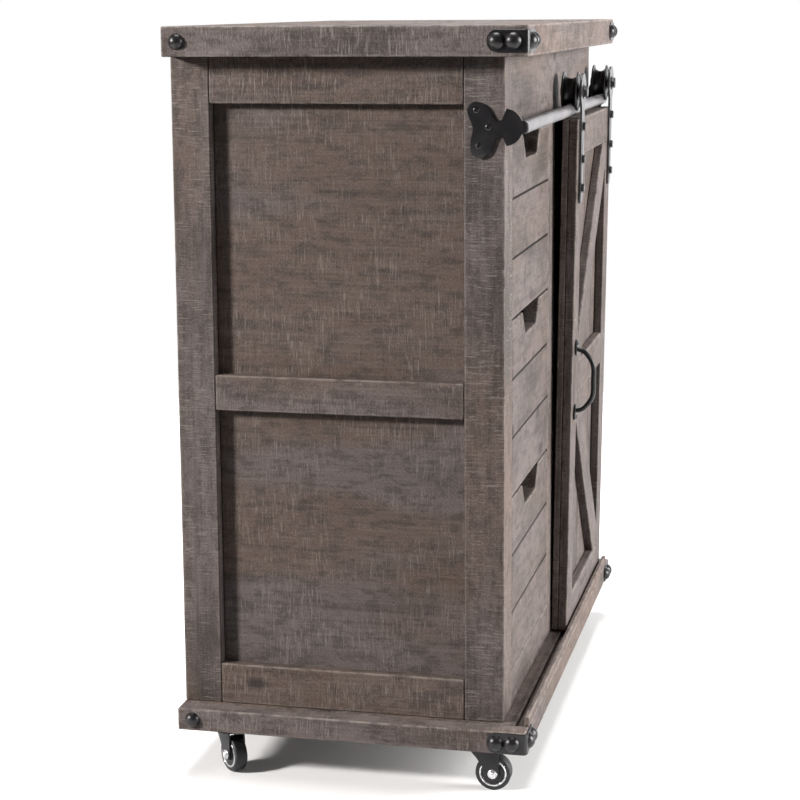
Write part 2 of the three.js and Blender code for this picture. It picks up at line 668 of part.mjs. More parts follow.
function casterPlate() {
  const under = CASTER_HEIGHT - CASTER_PLATE_THICK;
  const pinFoot = FORK_UNDER - GAP - KINGPIN_HEAD_TALL;
  const halfX = CASTER_PLATE_X / 2;
  const halfY = CASTER_PLATE_Y / 2;
  return join(
    box([-halfX, halfX], [-halfY, halfY], [under, CASTER_HEIGHT]),
    round("z", CASTER_BOSS, [FORK_TOP + GAP, under + 1], 20),
    round("z", KINGPIN_DIAMETER / 2, [pinFoot, under + 1], 12),
    round("z", KINGPIN_HEAD_RADIUS, [pinFoot, pinFoot + KINGPIN_HEAD_TALL], 12),
  );
}

// Two arms under a round top plate, with the wheel's axle between them. The wheel trails to -Y.
function casterFork(tongue) {
  const arm = new THREE.Shape();
  arm.moveTo(FORK_TOP_RADIUS - 1, FORK_TOP - 0.5);
  arm.lineTo(1 - FORK_TOP_RADIUS, FORK_TOP - 0.5);
  arm.absarc(-CASTER_TRAIL, WHEEL_RADIUS, FORK_HUB_RADIUS, ...FORK_HUB_ARC, false);
  const arms = SIDES.map(({ sign }) => plateYZ(arm, across(sign, ARM_INNER, ARM_OUTER), 5));
  const axle = round("x", WHEEL_AXLE_DIAMETER / 2, [-ARM_OUTER, ARM_OUTER], 12);
  const tongueHalf = FORK_TONGUE_WIDE / 2;
  const reach = tongue ? FORK_TONGUE_LONG : FORK_TOP_RADIUS - 1;
  const whole = joined(
    round("z", FORK_TOP_RADIUS, [FORK_UNDER, FORK_TOP], 20),
    box([-tongueHalf, tongueHalf], [-reach, 0], [FORK_UNDER, FORK_TOP]),
    ...arms,
    axle.translate(0, -CASTER_TRAIL, WHEEL_RADIUS),
  );
  const hole = round("z", KINGPIN_DIAMETER / 2 + KINGPIN_CLEARANCE, [FORK_UNDER - 1, FORK_TOP + 1], 16);
  return geometryOf(whole.subtract(solid(hole)));
}

function casterWheel() {
  const bore = WHEEL_AXLE_DIAMETER / 2 + AXLE_CLEARANCE;
  const half = WHEEL_WIDE / 2;
  const side = [
    [bore, half],
    [WHEEL_RADIUS * WHEEL_HUB, half],
    [WHEEL_RADIUS * WHEEL_DISH_INNER, half - WHEEL_DISH],
    [WHEEL_RADIUS * WHEEL_DISH_OUTER, half - WHEEL_DISH],
    [WHEEL_RADIUS * TYRE_INNER, half - TYRE_SET_IN],
    [WHEEL_RADIUS * TYRE_SHOULDER, half - TYRE_SET_IN],
    [WHEEL_RADIUS, half - TYRE_ROUND],
  ];
  const lower = side.map(([r, h]) => [r, -h]);
  const ring = [...lower, ...side.reverse(), lower[0]];
  const profile = ring.map(([r, h]) => new THREE.Vector2(r, h));
  return new THREE.LatheGeometry(profile, 24).rotateZ(-Math.PI / 2);
}

function makeCaster({ place, x, y, turn, tongue }) {
  const caster = new THREE.Group();
  caster.position.set(x * (WIDTH / 2 - CASTER_IN_X), y * (DEPTH / 2 - CASTER_IN_Y), 0);
  add(caster, `caster_plate_${place}`, casterPlate(), blackSteel);
  const swivel = new THREE.Group();
  swivel.rotation.z = THREE.MathUtils.degToRad(turn);
  add(swivel, `caster_fork_${place}`, casterFork(tongue), blackSteel);
  const wheel = add(swivel, `caster_wheel_${place}`, casterWheel(), tyre);
  wheel.position.set(0, -CASTER_TRAIL, WHEEL_RADIUS);
  caster.add(swivel);
  cart.add(caster);
}

// ---------------------------------------------------------------- the whole cart

makeBoards();
SIDES.forEach(makeSide);
makeFrontFrame();
makeInside();
DRAWERS.forEach(makeDrawer);
makeRod();
for (const side of SIDES) {
  makeRodPlate(side);
  makeStrap(side, "top", HEIGHT - TOP_THICK / 2);
  makeStrap(side, "base", CASTER_HEIGHT + BASE_THICK / 2);
}
makeDoor();
CASTERS.forEach(makeCaster);

// The origin is the middle of the whole outline, on the floor.
const extent = new THREE.Box3().setFromObject(cart);
cart.position.y = -(extent.min.y + extent.max.y) / 2;

export default cart;
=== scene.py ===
"""The finished look of a rustic cart: stained boards, black barn-door hardware, nail heads and casters.

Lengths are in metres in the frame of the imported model: +Z up, the drawers and the door face -Y.
"""

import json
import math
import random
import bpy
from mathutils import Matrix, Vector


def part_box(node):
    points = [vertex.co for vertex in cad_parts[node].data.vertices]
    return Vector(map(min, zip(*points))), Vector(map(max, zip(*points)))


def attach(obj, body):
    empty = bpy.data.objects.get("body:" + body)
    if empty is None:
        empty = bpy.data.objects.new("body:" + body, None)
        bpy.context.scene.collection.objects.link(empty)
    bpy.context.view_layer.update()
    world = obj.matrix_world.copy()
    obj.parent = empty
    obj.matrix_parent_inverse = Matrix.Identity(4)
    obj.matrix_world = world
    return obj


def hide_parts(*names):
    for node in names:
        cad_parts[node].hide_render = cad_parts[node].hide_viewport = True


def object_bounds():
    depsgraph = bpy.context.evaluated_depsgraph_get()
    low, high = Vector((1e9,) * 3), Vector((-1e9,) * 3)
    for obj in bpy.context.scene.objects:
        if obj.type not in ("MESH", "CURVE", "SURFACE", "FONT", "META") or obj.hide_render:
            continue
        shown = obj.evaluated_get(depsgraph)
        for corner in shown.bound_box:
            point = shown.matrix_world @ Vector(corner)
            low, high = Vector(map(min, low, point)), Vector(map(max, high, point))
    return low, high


bl_info = {
    "name": "Barn Door Cart",
    "version": (1, 0, 0),
    "blender": (4, 5, 0),
    "location": "3D View > Sidebar > Cart",
    "description": "Builds the boards, hardware and casters of a rustic cart with a sliding door",
    "category": "Object",
}

import bmesh
import bpy
from mathutils import Matrix, Quaternion, Vector

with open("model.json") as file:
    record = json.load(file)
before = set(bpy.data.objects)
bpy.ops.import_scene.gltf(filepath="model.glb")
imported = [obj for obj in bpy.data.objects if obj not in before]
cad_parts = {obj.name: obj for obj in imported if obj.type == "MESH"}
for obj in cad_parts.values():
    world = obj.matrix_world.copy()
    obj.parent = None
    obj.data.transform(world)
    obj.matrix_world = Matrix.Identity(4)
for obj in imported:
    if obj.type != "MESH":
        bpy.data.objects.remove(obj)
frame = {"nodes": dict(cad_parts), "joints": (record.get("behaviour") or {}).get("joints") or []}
CAD_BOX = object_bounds()

MM = 0.001
X = Vector((1, 0, 0))
Y = Vector((0, 1, 0))
Z = Vector((0, 0, 1))
JOINTS = {joint["name"]: joint for joint in frame["joints"]}
CASTER_PLACES = ("front_left", "front_right", "rear_left", "rear_right")
SIDES = (("left", -1), ("right", 1))
FIXED_BOARDS = (
    "top_board", "base_board", "front_post_left", "front_post_right", "rear_post_left", "rear_post_right",
    "mid_post", "left_top_rail", "left_mid_rail", "left_bottom_rail", "right_top_rail", "right_mid_rail",
    "right_bottom_rail", "front_top_rail", "front_bottom_rail", "back_panel",
)
DOOR_BOARDS = ("door_stile_left", "door_stile_right", "door_rail_top", "door_rail_mid", "door_rail_bottom")
GRAIN = "grain"
WORN = "worn"
# Levels of the worn attribute, from grime and painted contact shade below 0 to wear above it
EDGE_WEAR, FLAT_WEAR, CLEAN, JOINT_SHADE_AND_GRIME, GROOVE_SHADE_AND_GRIME = 1.0, 0.7, 0.0, -0.6, -1.0
SMOOTH_UNDER = math.radians(38)
TOUCHING = 1.2 * MM
DRAWER_NUMBERS = (1, 2, 3)
SENSOR_WIDTH = 36


# ---------------------------------------------------------------- settings a user would change


class CartWood(bpy.types.PropertyGroup):
    """Sizes and stain of the boards."""

    arris: bpy.props.FloatProperty(
        name="Eased arris", description="How far the edges of a board are rounded",
        default=0.0016, unit="LENGTH",
    )
    worn_band: bpy.props.FloatProperty(
        name="Worn band", description="Width of the paler wear beside an edge", default=0.0022, unit="LENGTH"
    )
    plank_groove: bpy.props.FloatProperty(
        name="Plank groove", description="Half width of the V between planks", default=0.0021, unit="LENGTH"
    )
    dark: bpy.props.FloatVectorProperty(
        name="Dark stain", description="Deepest colour of the stain",
        subtype="COLOR", default=(0.028, 0.020, 0.017),
    )
    middle: bpy.props.FloatVectorProperty(
        name="Middle stain", description="Commonest colour of the stain",
        subtype="COLOR", default=(0.119, 0.097, 0.093),
    )
    warm: bpy.props.FloatVectorProperty(
        name="Warm stain", description="Brown where the grey has worn thin", subtype="COLOR",
        default=(0.102, 0.066, 0.048),
    )
    pale: bpy.props.FloatVectorProperty(
        name="Pale wash", description="Grey wash left on saw marks and worn edges", subtype="COLOR",
        default=(0.265, 0.230, 0.206),
    )
    raw: bpy.props.FloatVectorProperty(
        name="Inside wood", description="Thin stain on boards inside the cart", subtype="COLOR",
        default=(0.26, 0.185, 0.125),
    )


class CartSteel(bpy.types.PropertyGroup):
    """Finish of the hardware."""

    black: bpy.props.FloatVectorProperty(
        name="Black paint", description="Colour of the painted steel",
        subtype="COLOR", default=(0.006, 0.0055, 0.0068),
    )
    # The rod colour is a grey-lilac far lighter than the black paint: a painted reflection. The hangers use
    # darker shares of it.
    rod: bpy.props.FloatVectorProperty(
        name="Rod", description="Colour of the door's rod", subtype="COLOR", default=(0.19, 0.178, 0.186)
    )
    zinc: bpy.props.FloatVectorProperty(
        name="Zinc", description="Colour of the caster bolts and rings",
        subtype="COLOR", default=(0.72, 0.72, 0.74),
    )
    rubber: bpy.props.FloatVectorProperty(
        name="Rubber", description="Colour of the tyres", subtype="COLOR", default=(0.012, 0.012, 0.013)
    )
    roughness: bpy.props.FloatProperty(
        name="Paint roughness", description="Roughness of the black paint",
        default=0.36, min=0, max=1, subtype="FACTOR",
    )


class CartStage(bpy.types.PropertyGroup):
    """Floor, lights and camera."""

    camera_place: bpy.props.FloatVectorProperty(
        name="Camera", description="Where the camera stands", default=(-2.6668, -0.5796, 0.9503),
        subtype="TRANSLATION", unit="LENGTH",
    )
    yaw: bpy.props.FloatProperty(
        name="Yaw", description="Camera's turn from +Y towards +X",
        default=math.radians(76.99), unit="ROTATION",
    )
    pitch: bpy.props.FloatProperty(
        name="Pitch", description="Camera's tilt above the horizon",
        default=math.radians(-9.36), unit="ROTATION",
    )
    roll: bpy.props.FloatProperty(
        name="Roll", description="Camera's roll", default=math.radians(-0.39), unit="ROTATION"
    )
    lens: bpy.props.FloatProperty(name="Lens", description="Focal length in millimetres", default=90.2)
    side_light: bpy.props.FloatProperty(
        name="Side light", description="Power of the light behind the left side", default=260, unit="POWER"
    )
    front_light: bpy.props.FloatProperty(
        name="Front light", description="Power of the softbox before the front", default=275, unit="POWER"
    )
    top_light: bpy.props.FloatProperty(
        name="Top light", description="Power of the softbox overhead", default=190, unit="POWER"
    )
    gloss_light: bpy.props.FloatProperty(
        name="Gloss card", description="Power of the wide card that gives the gloss", default=42, unit="POWER"
    )
    ambient: bpy.props.FloatProperty(
        name="Ambient", description="Strength of the even light from all round", default=0.14, min=0
    )


# ---------------------------------------------------------------- shader maths


class Mark:
    """One output of a shader node, so that shader maths reads as plain sums."""

    def __init__(self, finish, socket):
        self.finish = finish
        self.socket = socket

    def _sum(self, operation, *terms):
        return self.finish.node("ShaderNodeMath", {"operation": operation}, dict(enumerate(terms)))

    def __add__(self, other):
        return self._sum("ADD", self, other)

    __radd__ = __add__

    def __sub__(self, other):
        return self._sum("SUBTRACT", self, other)

    def __rsub__(self, other):
        return self._sum("SUBTRACT", other, self)

    def __mul__(self, other):
        return self._sum("MULTIPLY", self, other)

    __rmul__ = __mul__

    def within(self, low, high):
        """0 at low and below, 1 at high and above."""
        settings = {"interpolation_type": "SMOOTHSTEP"}
        return self.finish.node("ShaderNodeMapRange", settings, {0: self, 1: low, 2: high, 3: 0.0, 4: 1.0})

    def stretched(self, x, y, z):
        """A vector with each part multiplied."""
        settings = {"operation": "MULTIPLY"}
        return self.finish.node("ShaderNodeVectorMath", settings, {0: self, 1: (x, y, z)})

    def moved(self, by):
        """A vector with another vector added."""
        return self.finish.node("ShaderNodeVectorMath", {"operation": "ADD"}, {0: self, 1: by})


class Finish:
    """A material while its nodes are being made."""

    def __init__(self, name):
        self.material = bpy.data.materials.new(name)
        self.material.use_nodes = True
        self.tree = self.material.node_tree
        self.tree.nodes.clear()

    def node(self, kind, settings, inputs, output=0):
        made = self.tree.nodes.new(kind)
        for name, value in settings.items():
            setattr(made, name, value)
        for name, value in inputs.items():
            if isinstance(value, Mark):
                self.tree.links.new(value.socket, made.inputs[name])
            else:
                made.inputs[name].default_value = value
        return Mark(self, made.outputs[output] if made.outputs else None)

    def on_piece(self):
        """Places on the piece, in metres."""
        return self.node("ShaderNodeTexCoord", {}, {}, output="Object")

    def grain_and_wear(self):
        """Places along the grain of each board, and how worn or grimy the board is there."""
        place = self.node("ShaderNodeAttribute", {"attribute_name": GRAIN}, {}, output=1)
        worn = self.node("ShaderNodeAttribute", {"attribute_name": WORN}, {}, output=2)
        return place, worn

    def noise(self, place, detail=2.0, roughness=0.5):
        inputs = {"Vector": place, "Scale": 1.0, "Detail": detail, "Roughness": roughness}
        return self.node("ShaderNodeTexNoise", {}, inputs)

    def mixed(self, share, first, second):
        """The first colour, turned into the second by a share."""
        inputs = {0: share}
        for place, value in ((6, first), (7, second)):
            inputs[place] = value if isinstance(value, Mark) else (*value, 1)
        return self.node("ShaderNodeMix", {"data_type": "RGBA", "blend_type": "MIX"}, inputs, output=2)

    def bump(self, height, strength, distance):
        return self.node("ShaderNodeBump", {}, {"Strength": strength, "Distance": distance, "Height": height})

    def done(self, **sockets):
        inputs = {name.replace("_", " "): value for name, value in sockets.items()}
        for name, value in inputs.items():
            if name == "Base Color" and not isinstance(value, Mark):
                inputs[name] = (*value, 1)
        surface = self.node("ShaderNodeBsdfPrincipled", {}, inputs)
        self.node("ShaderNodeOutputMaterial", {}, {"Surface": surface})
        return self.material


# ---------------------------------------------------------------- finishes


def times(share, colour):
    """A colour made darker or lighter."""
    return [share * part for part in colour]


def stained_wood(name, wood, shade, warmth, marks):
    """Distressed boards: a grey-brown stain over saw marks, with pale wash in the marks and on the edges."""
    f = Finish(name)
    place, worn = f.grain_and_wear()

    cloud = f.noise(place.stretched(5, 13, 13), detail=3.0, roughness=0.6)
    drift = f.noise(place.stretched(2.1, 6.5, 6.5).moved((7.3, 2.1, 4.4)), detail=2.0)
    fibre = f.noise(place.stretched(14, 420, 420), detail=3.0, roughness=0.65)
    streak = f.noise(place.stretched(4, 75, 75).moved((1.9, 8.2, 3.3)), detail=2.0)
    wander = f.noise(place.stretched(9, 40, 40), detail=1.0)
    bent = place.moved(f.node("ShaderNodeCombineXYZ", {}, {0: (wander - 0.5) * 0.004}))
    saw = f.noise(bent.stretched(640, 48, 48), detail=3.0, roughness=0.6)
    coarse_saw = f.noise(bent.stretched(230, 34, 34).moved((3.1, 5.7, 9.2)), detail=3.0, roughness=0.6)
    patch = f.noise(place.stretched(13, 24, 24).moved((4.7, 1.3, 6.1)), detail=3.0)
    speck = f.noise(place.stretched(520, 520, 520), detail=1.0)
    speck_patch = f.noise(place.stretched(16, 40, 40).moved((9.4, 3.8, 1.6)), detail=1.0)

    dark = times(shade, wood.dark)
    middle = times(shade, wood.middle)
    warm = times(shade, wood.warm)
    pale = times(shade, wood.pale)
    mottle = f.noise(place.stretched(34, 75, 75).moved((6.6, 0.7, 2.9)), detail=3.0, roughness=0.65)
    weave = f.noise(place.stretched(1100, 330, 330), detail=2.0, roughness=0.6)
    stain = f.mixed(cloud.within(0.30, 0.56), dark, middle)
    stain = f.mixed(drift.within(0.44, 0.60) * warmth, stain, warm)
    stain = f.mixed((1 - mottle).within(0.44, 0.64) * 0.6, stain, dark)
    stain = f.mixed(weave.within(0.50, 0.70) * 0.30, stain, pale)
    stain = f.mixed((1 - weave).within(0.50, 0.70) * 0.45, stain, dark)
    stain = f.mixed(streak.within(0.56, 0.74) * 0.4, stain, dark)
    stain = f.mixed(fibre.within(0.40, 0.75) * 0.16, stain, pale)

    strokes = saw.within(0.53, 0.70) * patch.within(0.34, 0.60)
    broad = coarse_saw.within(0.60, 0.76) * patch.within(0.50, 0.66)
    stain = f.mixed(strokes * (0.55 * marks), stain, pale)
    stain = f.mixed(broad * (0.30 * marks), stain, pale)
    cuts = (1 - saw).within(0.55, 0.72) * patch.within(0.34, 0.58)
    stain = f.mixed(cuts * (0.60 * marks), stain, dark)
    pits = speck.within(0.66, 0.78) * speck_patch.within(0.52, 0.66)
    stain = f.mixed(pits * 0.8, stain, dark)

    # A dark knot in the middle of some cells
    cells = {"Vector": place.stretched(6.5, 11, 11), "Scale": 1.0}
    near = 1 - f.node("ShaderNodeTexVoronoi", {"feature": "F1"}, cells).within(0.03, 0.13)
    chosen = f.node("ShaderNodeTexVoronoi", {"feature": "F1"}, cells, output="Color")
    pick = f.node("ShaderNodeSeparateColor", {}, {0: chosen}).within(0.55, 0.57)
    stain = f.mixed(near * pick * 0.75, stain, times(0.5, dark))

    rub = f.noise(place.stretched(60, 140, 140), detail=2.0).within(0.36, 0.62)
    stain = f.mixed(worn.within(0.1, 1.0) * rub * 0.5, stain, pale)
    # Painted contact shade with grime: joints and V grooves, where worn is below 0, darken towards a quarter
    # of the dark stain.
    stain = f.mixed((1 - worn.within(-0.95, -0.05)) * 0.85, stain, times(0.25, dark))

    height = saw * 0.6 + coarse_saw * 0.5 + fibre * 0.3 + weave * 0.5 - pits * 0.8
    normal = f.bump(height, 0.55 * marks, 0.0011)
    roughness = 0.68 + (cloud - 0.5) * 0.3 - strokes * 0.08
    return f.done(Base_Color=stain, Roughness=roughness, Normal=normal, Specular_IOR_Level=0.3)


def inside_boards(name, wood):
    """Plain thinly stained boards inside the cart, with grain and streaks."""
    f = Finish(name)
    place, worn = f.grain_and_wear()
    ripple = f.noise(place.stretched(3, 16, 16), detail=2.0)
    bent = place.moved(f.node("ShaderNodeCombineXYZ", {}, {1: (ripple - 0.5) * 0.02}))
    rings = f.noise(bent.stretched(2.5, 95, 95), detail=3.0, roughness=0.6)
    fibre = f.noise(place.stretched(20, 600, 600), detail=2.0)
    drift = f.noise(place.stretched(4, 9, 9).moved((2.2, 5.1, 7.7)), detail=2.0)
    raw = list(wood.raw)
    deep = times(0.45, raw)
    light = times(1.35, raw)
    tone = f.mixed(rings.within(0.36, 0.66), deep, raw)
    tone = f.mixed(fibre.within(0.5, 0.75) * 0.35, tone, light)
    tone = f.mixed(drift.within(0.45, 0.7) * 0.4, tone, deep)
    tone = f.mixed(worn.within(0.1, 1.0) * 0.3, tone, light)
    normal = f.bump(rings * 0.4 + fibre * 0.6, 0.3, 0.0006)
    return f.done(Base_Color=tone, Roughness=0.6 + (drift - 0.5) * 0.25, Normal=normal)


def black_paint(name, steel):
    """Gloss black paint with a slight skin and rusty smears."""
    f = Finish(name)
    place = f.on_piece()
    skin = f.noise(place.stretched(900, 900, 900), detail=2.0)
    smear = f.noise(place.stretched(60, 60, 60), detail=3.0, roughness=0.6)
    black = list(steel.black)
    rusty = [black[0] * 2.6, black[1] * 2.0, black[2] * 1.7]
    tone = f.mixed(smear.within(0.45, 0.75) * 0.7, black, rusty)
    roughness = steel.roughness + (smear - 0.5) * 0.22
    normal = f.bump(skin * 0.4 + smear, 0.18, 0.0004)
    return f.done(Base_Color=tone, Roughness=roughness, Normal=normal, Specular_IOR_Level=0.42)


def hanger_steel(name, steel):
    """Thin black wash over rolled strap, with greyer smears where it is rubbed."""
    f = Finish(name)
    place = f.on_piece()
    smear = f.noise(place.stretched(70, 70, 25), detail=3.0, roughness=0.6)
    rolled = f.noise(place.stretched(800, 800, 120), detail=2.0)
    # The rod colour holds a painted reflection; the strap keeps only a faint share of it, in washed and
    # bright.
    rod = list(steel.rod)
    washed = times(0.10, rod)
    bright = times(0.38, rod)
    tone = f.mixed(smear.within(0.35, 0.70), washed, bright)
    roughness = 0.36 + (smear - 0.5) * 0.25
    normal = f.bump(rolled, 0.12, 0.0003)
    return f.done(Base_Color=tone, Roughness=roughness, Normal=normal, Specular_IOR_Level=0.6)


def rod_painted_sheen(name, steel):
    """Steel bar with fine marks and darker smears along it; its grey-lilac, far lighter than black paint, is
    a painted reflection.
    """
    f = Finish(name)
    place = f.on_piece()
    drawn = f.noise(place.stretched(12, 900, 900), detail=3.0)
    smear = f.noise(place.stretched(25, 60, 60), detail=3.0)
    # steel.rod holds the rod's painted reflection colour; deep is a darker share of it.
    rod = list(steel.rod)
    deep = times(0.35, rod)
    tone = f.mixed(smear.within(0.35, 0.7), deep, rod)
    tone = f.mixed(drawn.within(0.5, 0.7) * 0.3, tone, deep)
    roughness = 0.36 + (smear - 0.5) * 0.3
    normal = f.bump(drawn + smear, 0.2, 0.0004)
    return f.done(Base_Color=tone, Roughness=roughness, Metallic=0.1, Normal=normal, Specular_IOR_Level=0.4)


def zinc_plate(name, steel):
    """Bright zinc on the caster bolts and wheel rings, with faint turning marks and dull spots."""
    f = Finish(name)
    place = f.on_piece()
    turning = f.noise(place.stretched(1500, 1500, 1500), detail=2.0)
    dull = f.noise(place.stretched(180, 180, 180), detail=3.0)
    zinc = list(steel.zinc)
    grey = times(0.55, zinc)
    tone = f.mixed(dull.within(0.45, 0.7), zinc, grey)
    roughness = 0.28 + (dull - 0.5) * 0.3
    return f.done(Base_Color=tone, Roughness=roughness, Metallic=0.9, Normal=f.bump(turning, 0.15, 0.0002))


def tyre_rubber(name, steel):
    """Black rubber, dusty where it has rolled."""
    f = Finish(name)
    place = f.on_piece()
    grit = f.noise(place.stretched(1200, 1200, 1200), detail=2.0)
    dust = f.noise(place.stretched(120, 120, 120), detail=3.0, roughness=0.7)
    rubber = list(steel.rubber)
    dusty = [part * 3.5 + 0.01 for part in rubber]
    tone = f.mixed(dust.within(0.5, 0.8) * 0.7, rubber, dusty)
    roughness = 0.5 + (dust - 0.5) * 0.3
    return f.done(Base_Color=tone, Roughness=roughness, Normal=f.bump(grit, 0.2, 0.0003))


def hub_plastic(name, steel):
    """Dark moulded plastic of the wheel hubs, finely grained."""
    f = Finish(name)
    place = f.on_piece()
    mould = f.noise(place.stretched(700, 700, 700), detail=2.0)
    cloud = f.noise(place.stretched(90, 90, 90), detail=2.0)
    deep = list(steel.black)
    worn = [part * 4.0 + 0.012 for part in deep]
    tone = f.mixed(cloud.within(0.4, 0.75) * 0.6, deep, worn)
    roughness = 0.42 + (cloud - 0.5) * 0.2
    return f.done(Base_Color=tone, Roughness=roughness, Normal=f.bump(mould, 0.3, 0.0003))


def floor_paint(name):
    """Matt pale floor with a barely seen unevenness."""
    f = Finish(name)
    place = f.on_piece()
    cloud = f.noise(place.stretched(0.8, 0.8, 0.8), detail=2.0)
    tone = f.mixed(cloud, (0.90, 0.90, 0.90), (0.94, 0.94, 0.94))
    return f.done(Base_Color=tone, Roughness=0.9)


def backdrop_glow(name):
    """Even pale light of the backdrop."""
    f = Finish(name)
    glow = f.node("ShaderNodeEmission", {}, {0: (1, 1, 1, 1), 1: 1.0})
    f.node("ShaderNodeOutputMaterial", {}, {"Surface": glow})
    return f.material


MADE_FINISHES = {}


def finish_named(name):
    """The material of that name, made when it is first asked for."""
    if name in MADE_FINISHES:
        return MADE_FINISHES[name]
    wood = bpy.context.scene.cart_wood
    steel = bpy.context.scene.cart_steel
    makers = {
        "stained_slab": lambda: stained_wood(name, wood, 1.3, 0.65, 1.0),
        "stained_frame": lambda: stained_wood(name, wood, 1.15, 0.65, 1.0),
        "stained_panel": lambda: stained_wood(name, wood, 1.05, 0.75, 0.9),
        "stained_front": lambda: stained_wood(name, wood, 1.05, 0.3, 0.8),
        "inside_boards": lambda: inside_boards(name, wood),
        "black_paint": lambda: black_paint(name, steel),
        "hanger_steel": lambda: hanger_steel(name, steel),
        "rod_painted_sheen": lambda: rod_painted_sheen(name, steel),
        "zinc_plate": lambda: zinc_plate(name, steel),
        "tyre_rubber": lambda: tyre_rubber(name, steel),
        "hub_plastic": lambda: hub_plastic(name, steel),
        "floor_paint": lambda: floor_paint(name),
        "backdrop_glow": lambda: backdrop_glow(name),
    }
    MADE_FINISHES[name] = makers[name]()
    return MADE_FINISHES[name]


# ---------------------------------------------------------------- making and placing pieces


class Work:
    """A piece under construction: a mesh, the finishes that its faces use, and the boards that it meets."""

    def __init__(self, name, *finishes, meets=()):
        self.name = name
        self.finishes = finishes
        self.meets = meets
        self.boards = []
        self.bm = bmesh.new()
        self.grain = self.bm.verts.layers.float_vector.new(GRAIN)
        self.worn = self.bm.verts.layers.float.new(WORN)
        self.dice = random.Random(name)

    def begin(self):
        self._verts = set(self.bm.verts)
        self._faces = set(self.bm.faces)

    def fresh_verts(self):
        return [v for v in self.bm.verts if v not in self._verts]

    def fresh_faces(self):
        return [f for f in self.bm.faces if f not in self._faces]

    def end(self, finish=0, place=None, smooth=False):
        """Closes one part of the piece: sets its finish, and moves it into place."""
        faces = self.fresh_faces()
        bmesh.ops.recalc_face_normals(self.bm, faces=faces)
        for face in faces:
            face.material_index = finish
            face.smooth = smooth
        if place is not None:
            bmesh.ops.transform(self.bm, matrix=place, verts=self.fresh_verts())

    def darken_joints(self):
        """Painted contact shade and grime instead of wear where two boards of the piece meet."""
        for edge, _, _ in self.boards:
            for other, low, high in self.boards:
                if other is edge:
                    continue
                for vert, point in edge:
                    if inside(point, low, high):
                        vert[self.worn] = JOINT_SHADE_AND_GRIME

    def finish(self, body, slot, nodes=()):
        """Makes the object, and puts it on its body."""
        self.darken_joints()
        mesh = bpy.data.meshes.new(self.name)
        self.bm.to_mesh(mesh)
        self.bm.free()
        piece = bpy.data.objects.new(self.name, mesh)
        bpy.context.scene.collection.objects.link(piece)
        for name in self.finishes:
            mesh.materials.append(finish_named(name))
        if any(polygon.use_smooth for polygon in mesh.polygons):
            mesh.set_sharp_from_angle(angle=SMOOTH_UNDER)
        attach(piece, body)
        if nodes:
            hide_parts(*nodes)


def prism(work, outline, reach):
    """A solid between a flat outline and the same outline moved by reach."""
    near = [work.bm.verts.new(point) for point in outline]
    far = [work.bm.verts.new(Vector(point) + reach) for point in outline]
    work.bm.faces.new(near[::-1])
    work.bm.faces.new(far)
    for i, vert in enumerate(near):
        j = (i + 1) % len(near)
        work.bm.faces.new((vert, near[j], far[j], far[i]))


def rounded_edges(work, edges, offset):
    """Rounds edges in two steps, and returns the faces that this makes."""
    made = bmesh.ops.bevel(
        work.bm, geom=edges, offset=offset, segments=2, profile=0.5, affect="EDGES", clamp_overlap=True
    )
    return set(made["faces"])


def plank(work, outline, reach, along, place=None, chamfers=(), finish=0):
    """A board with eased edges.

    The grain runs along a direction. Chamfers are the middles of the edges that meet in a V groove.
    """
    wood = bpy.context.scene.cart_wood
    work.begin()
    prism(work, outline, reach)
    fresh = work.fresh_verts()
    low = Vector(min(v.co[i] for v in fresh) for i in range(3))
    high = Vector(max(v.co[i] for v in fresh) for i in range(3))
    size = high - low
    if chamfers:
        wanted = [
            e
            for e in {e for v in fresh for e in v.link_edges}
            if any(((e.verts[0].co + e.verts[1].co) / 2 - spot).length < 1e-4 for spot in chamfers)
        ]
        bmesh.ops.bevel(
            work.bm, geom=wanted, offset=wood.plank_groove, segments=1, affect="EDGES", clamp_overlap=True
        )
        fresh = work.fresh_verts()
    arris = min(wood.arris, 0.22 * min(size))
    edges = list({e for v in fresh for e in v.link_edges})
    rounded = rounded_edges(work, edges, arris)
    flats = [f for f in work.fresh_faces() if f not in rounded]
    for vert in work.fresh_verts():
        vert[work.worn] = EDGE_WEAR
    for face in flats:
        for vert in face.verts:
            vert[work.worn] = FLAT_WEAR
    band = min(wood.worn_band, 0.25 * min(size))
    wide = [f for f in flats if f.calc_area() > 4 * band * band]
    bmesh.ops.inset_individual(work.bm, faces=wide, thickness=band, use_even_offset=True)
    for face in wide:
        for vert in face.verts:
            vert[work.worn] = CLEAN

    # Worn verts that touch another board, and verts in a V groove, get the painted contact shade and grime
    # levels.
    in_groove = 1.9 * MM
    for vert in work.fresh_verts():
        if vert[work.worn] > 0 and any(inside(vert.co, *box) for box in work.meets):
            vert[work.worn] = JOINT_SHADE_AND_GRIME
        gap = min((abs(vert.co.z - spot.z) for spot in chamfers), default=1.0)
        if gap < in_groove:
            vert[work.worn] = GROOVE_SHADE_AND_GRIME
        elif gap < wood.plank_groove + wood.arris + wood.worn_band:
            vert[work.worn] = CLEAN

    across = Y if abs(along.dot(Y)) < 0.9 else Z
    through = along.cross(across).normalized()
    across = through.cross(along)
    centre = (low + high) / 2
    shift = Vector(work.dice.uniform(0, 40) for _ in range(3))
    for vert in work.fresh_verts():
        offset = vert.co - centre
        vert[work.grain] = Vector((offset.dot(along), offset.dot(across), offset.dot(through))) + shift
    edge = [(vert, vert.co.copy()) for vert in work.fresh_verts() if vert[work.worn] > 0]
    work.boards.append((edge, low, high))
    work.end(finish=finish, place=place)


def inside(point, low, high):
    """Whether a point is in or just beside a box."""
    return all(low[i] - TOUCHING < point[i] < high[i] + TOUCHING for i in range(3))


def meeting(own, names):
    """The boxes of the other boards that a board can meet."""
    return [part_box(name) for name in names if name != own]


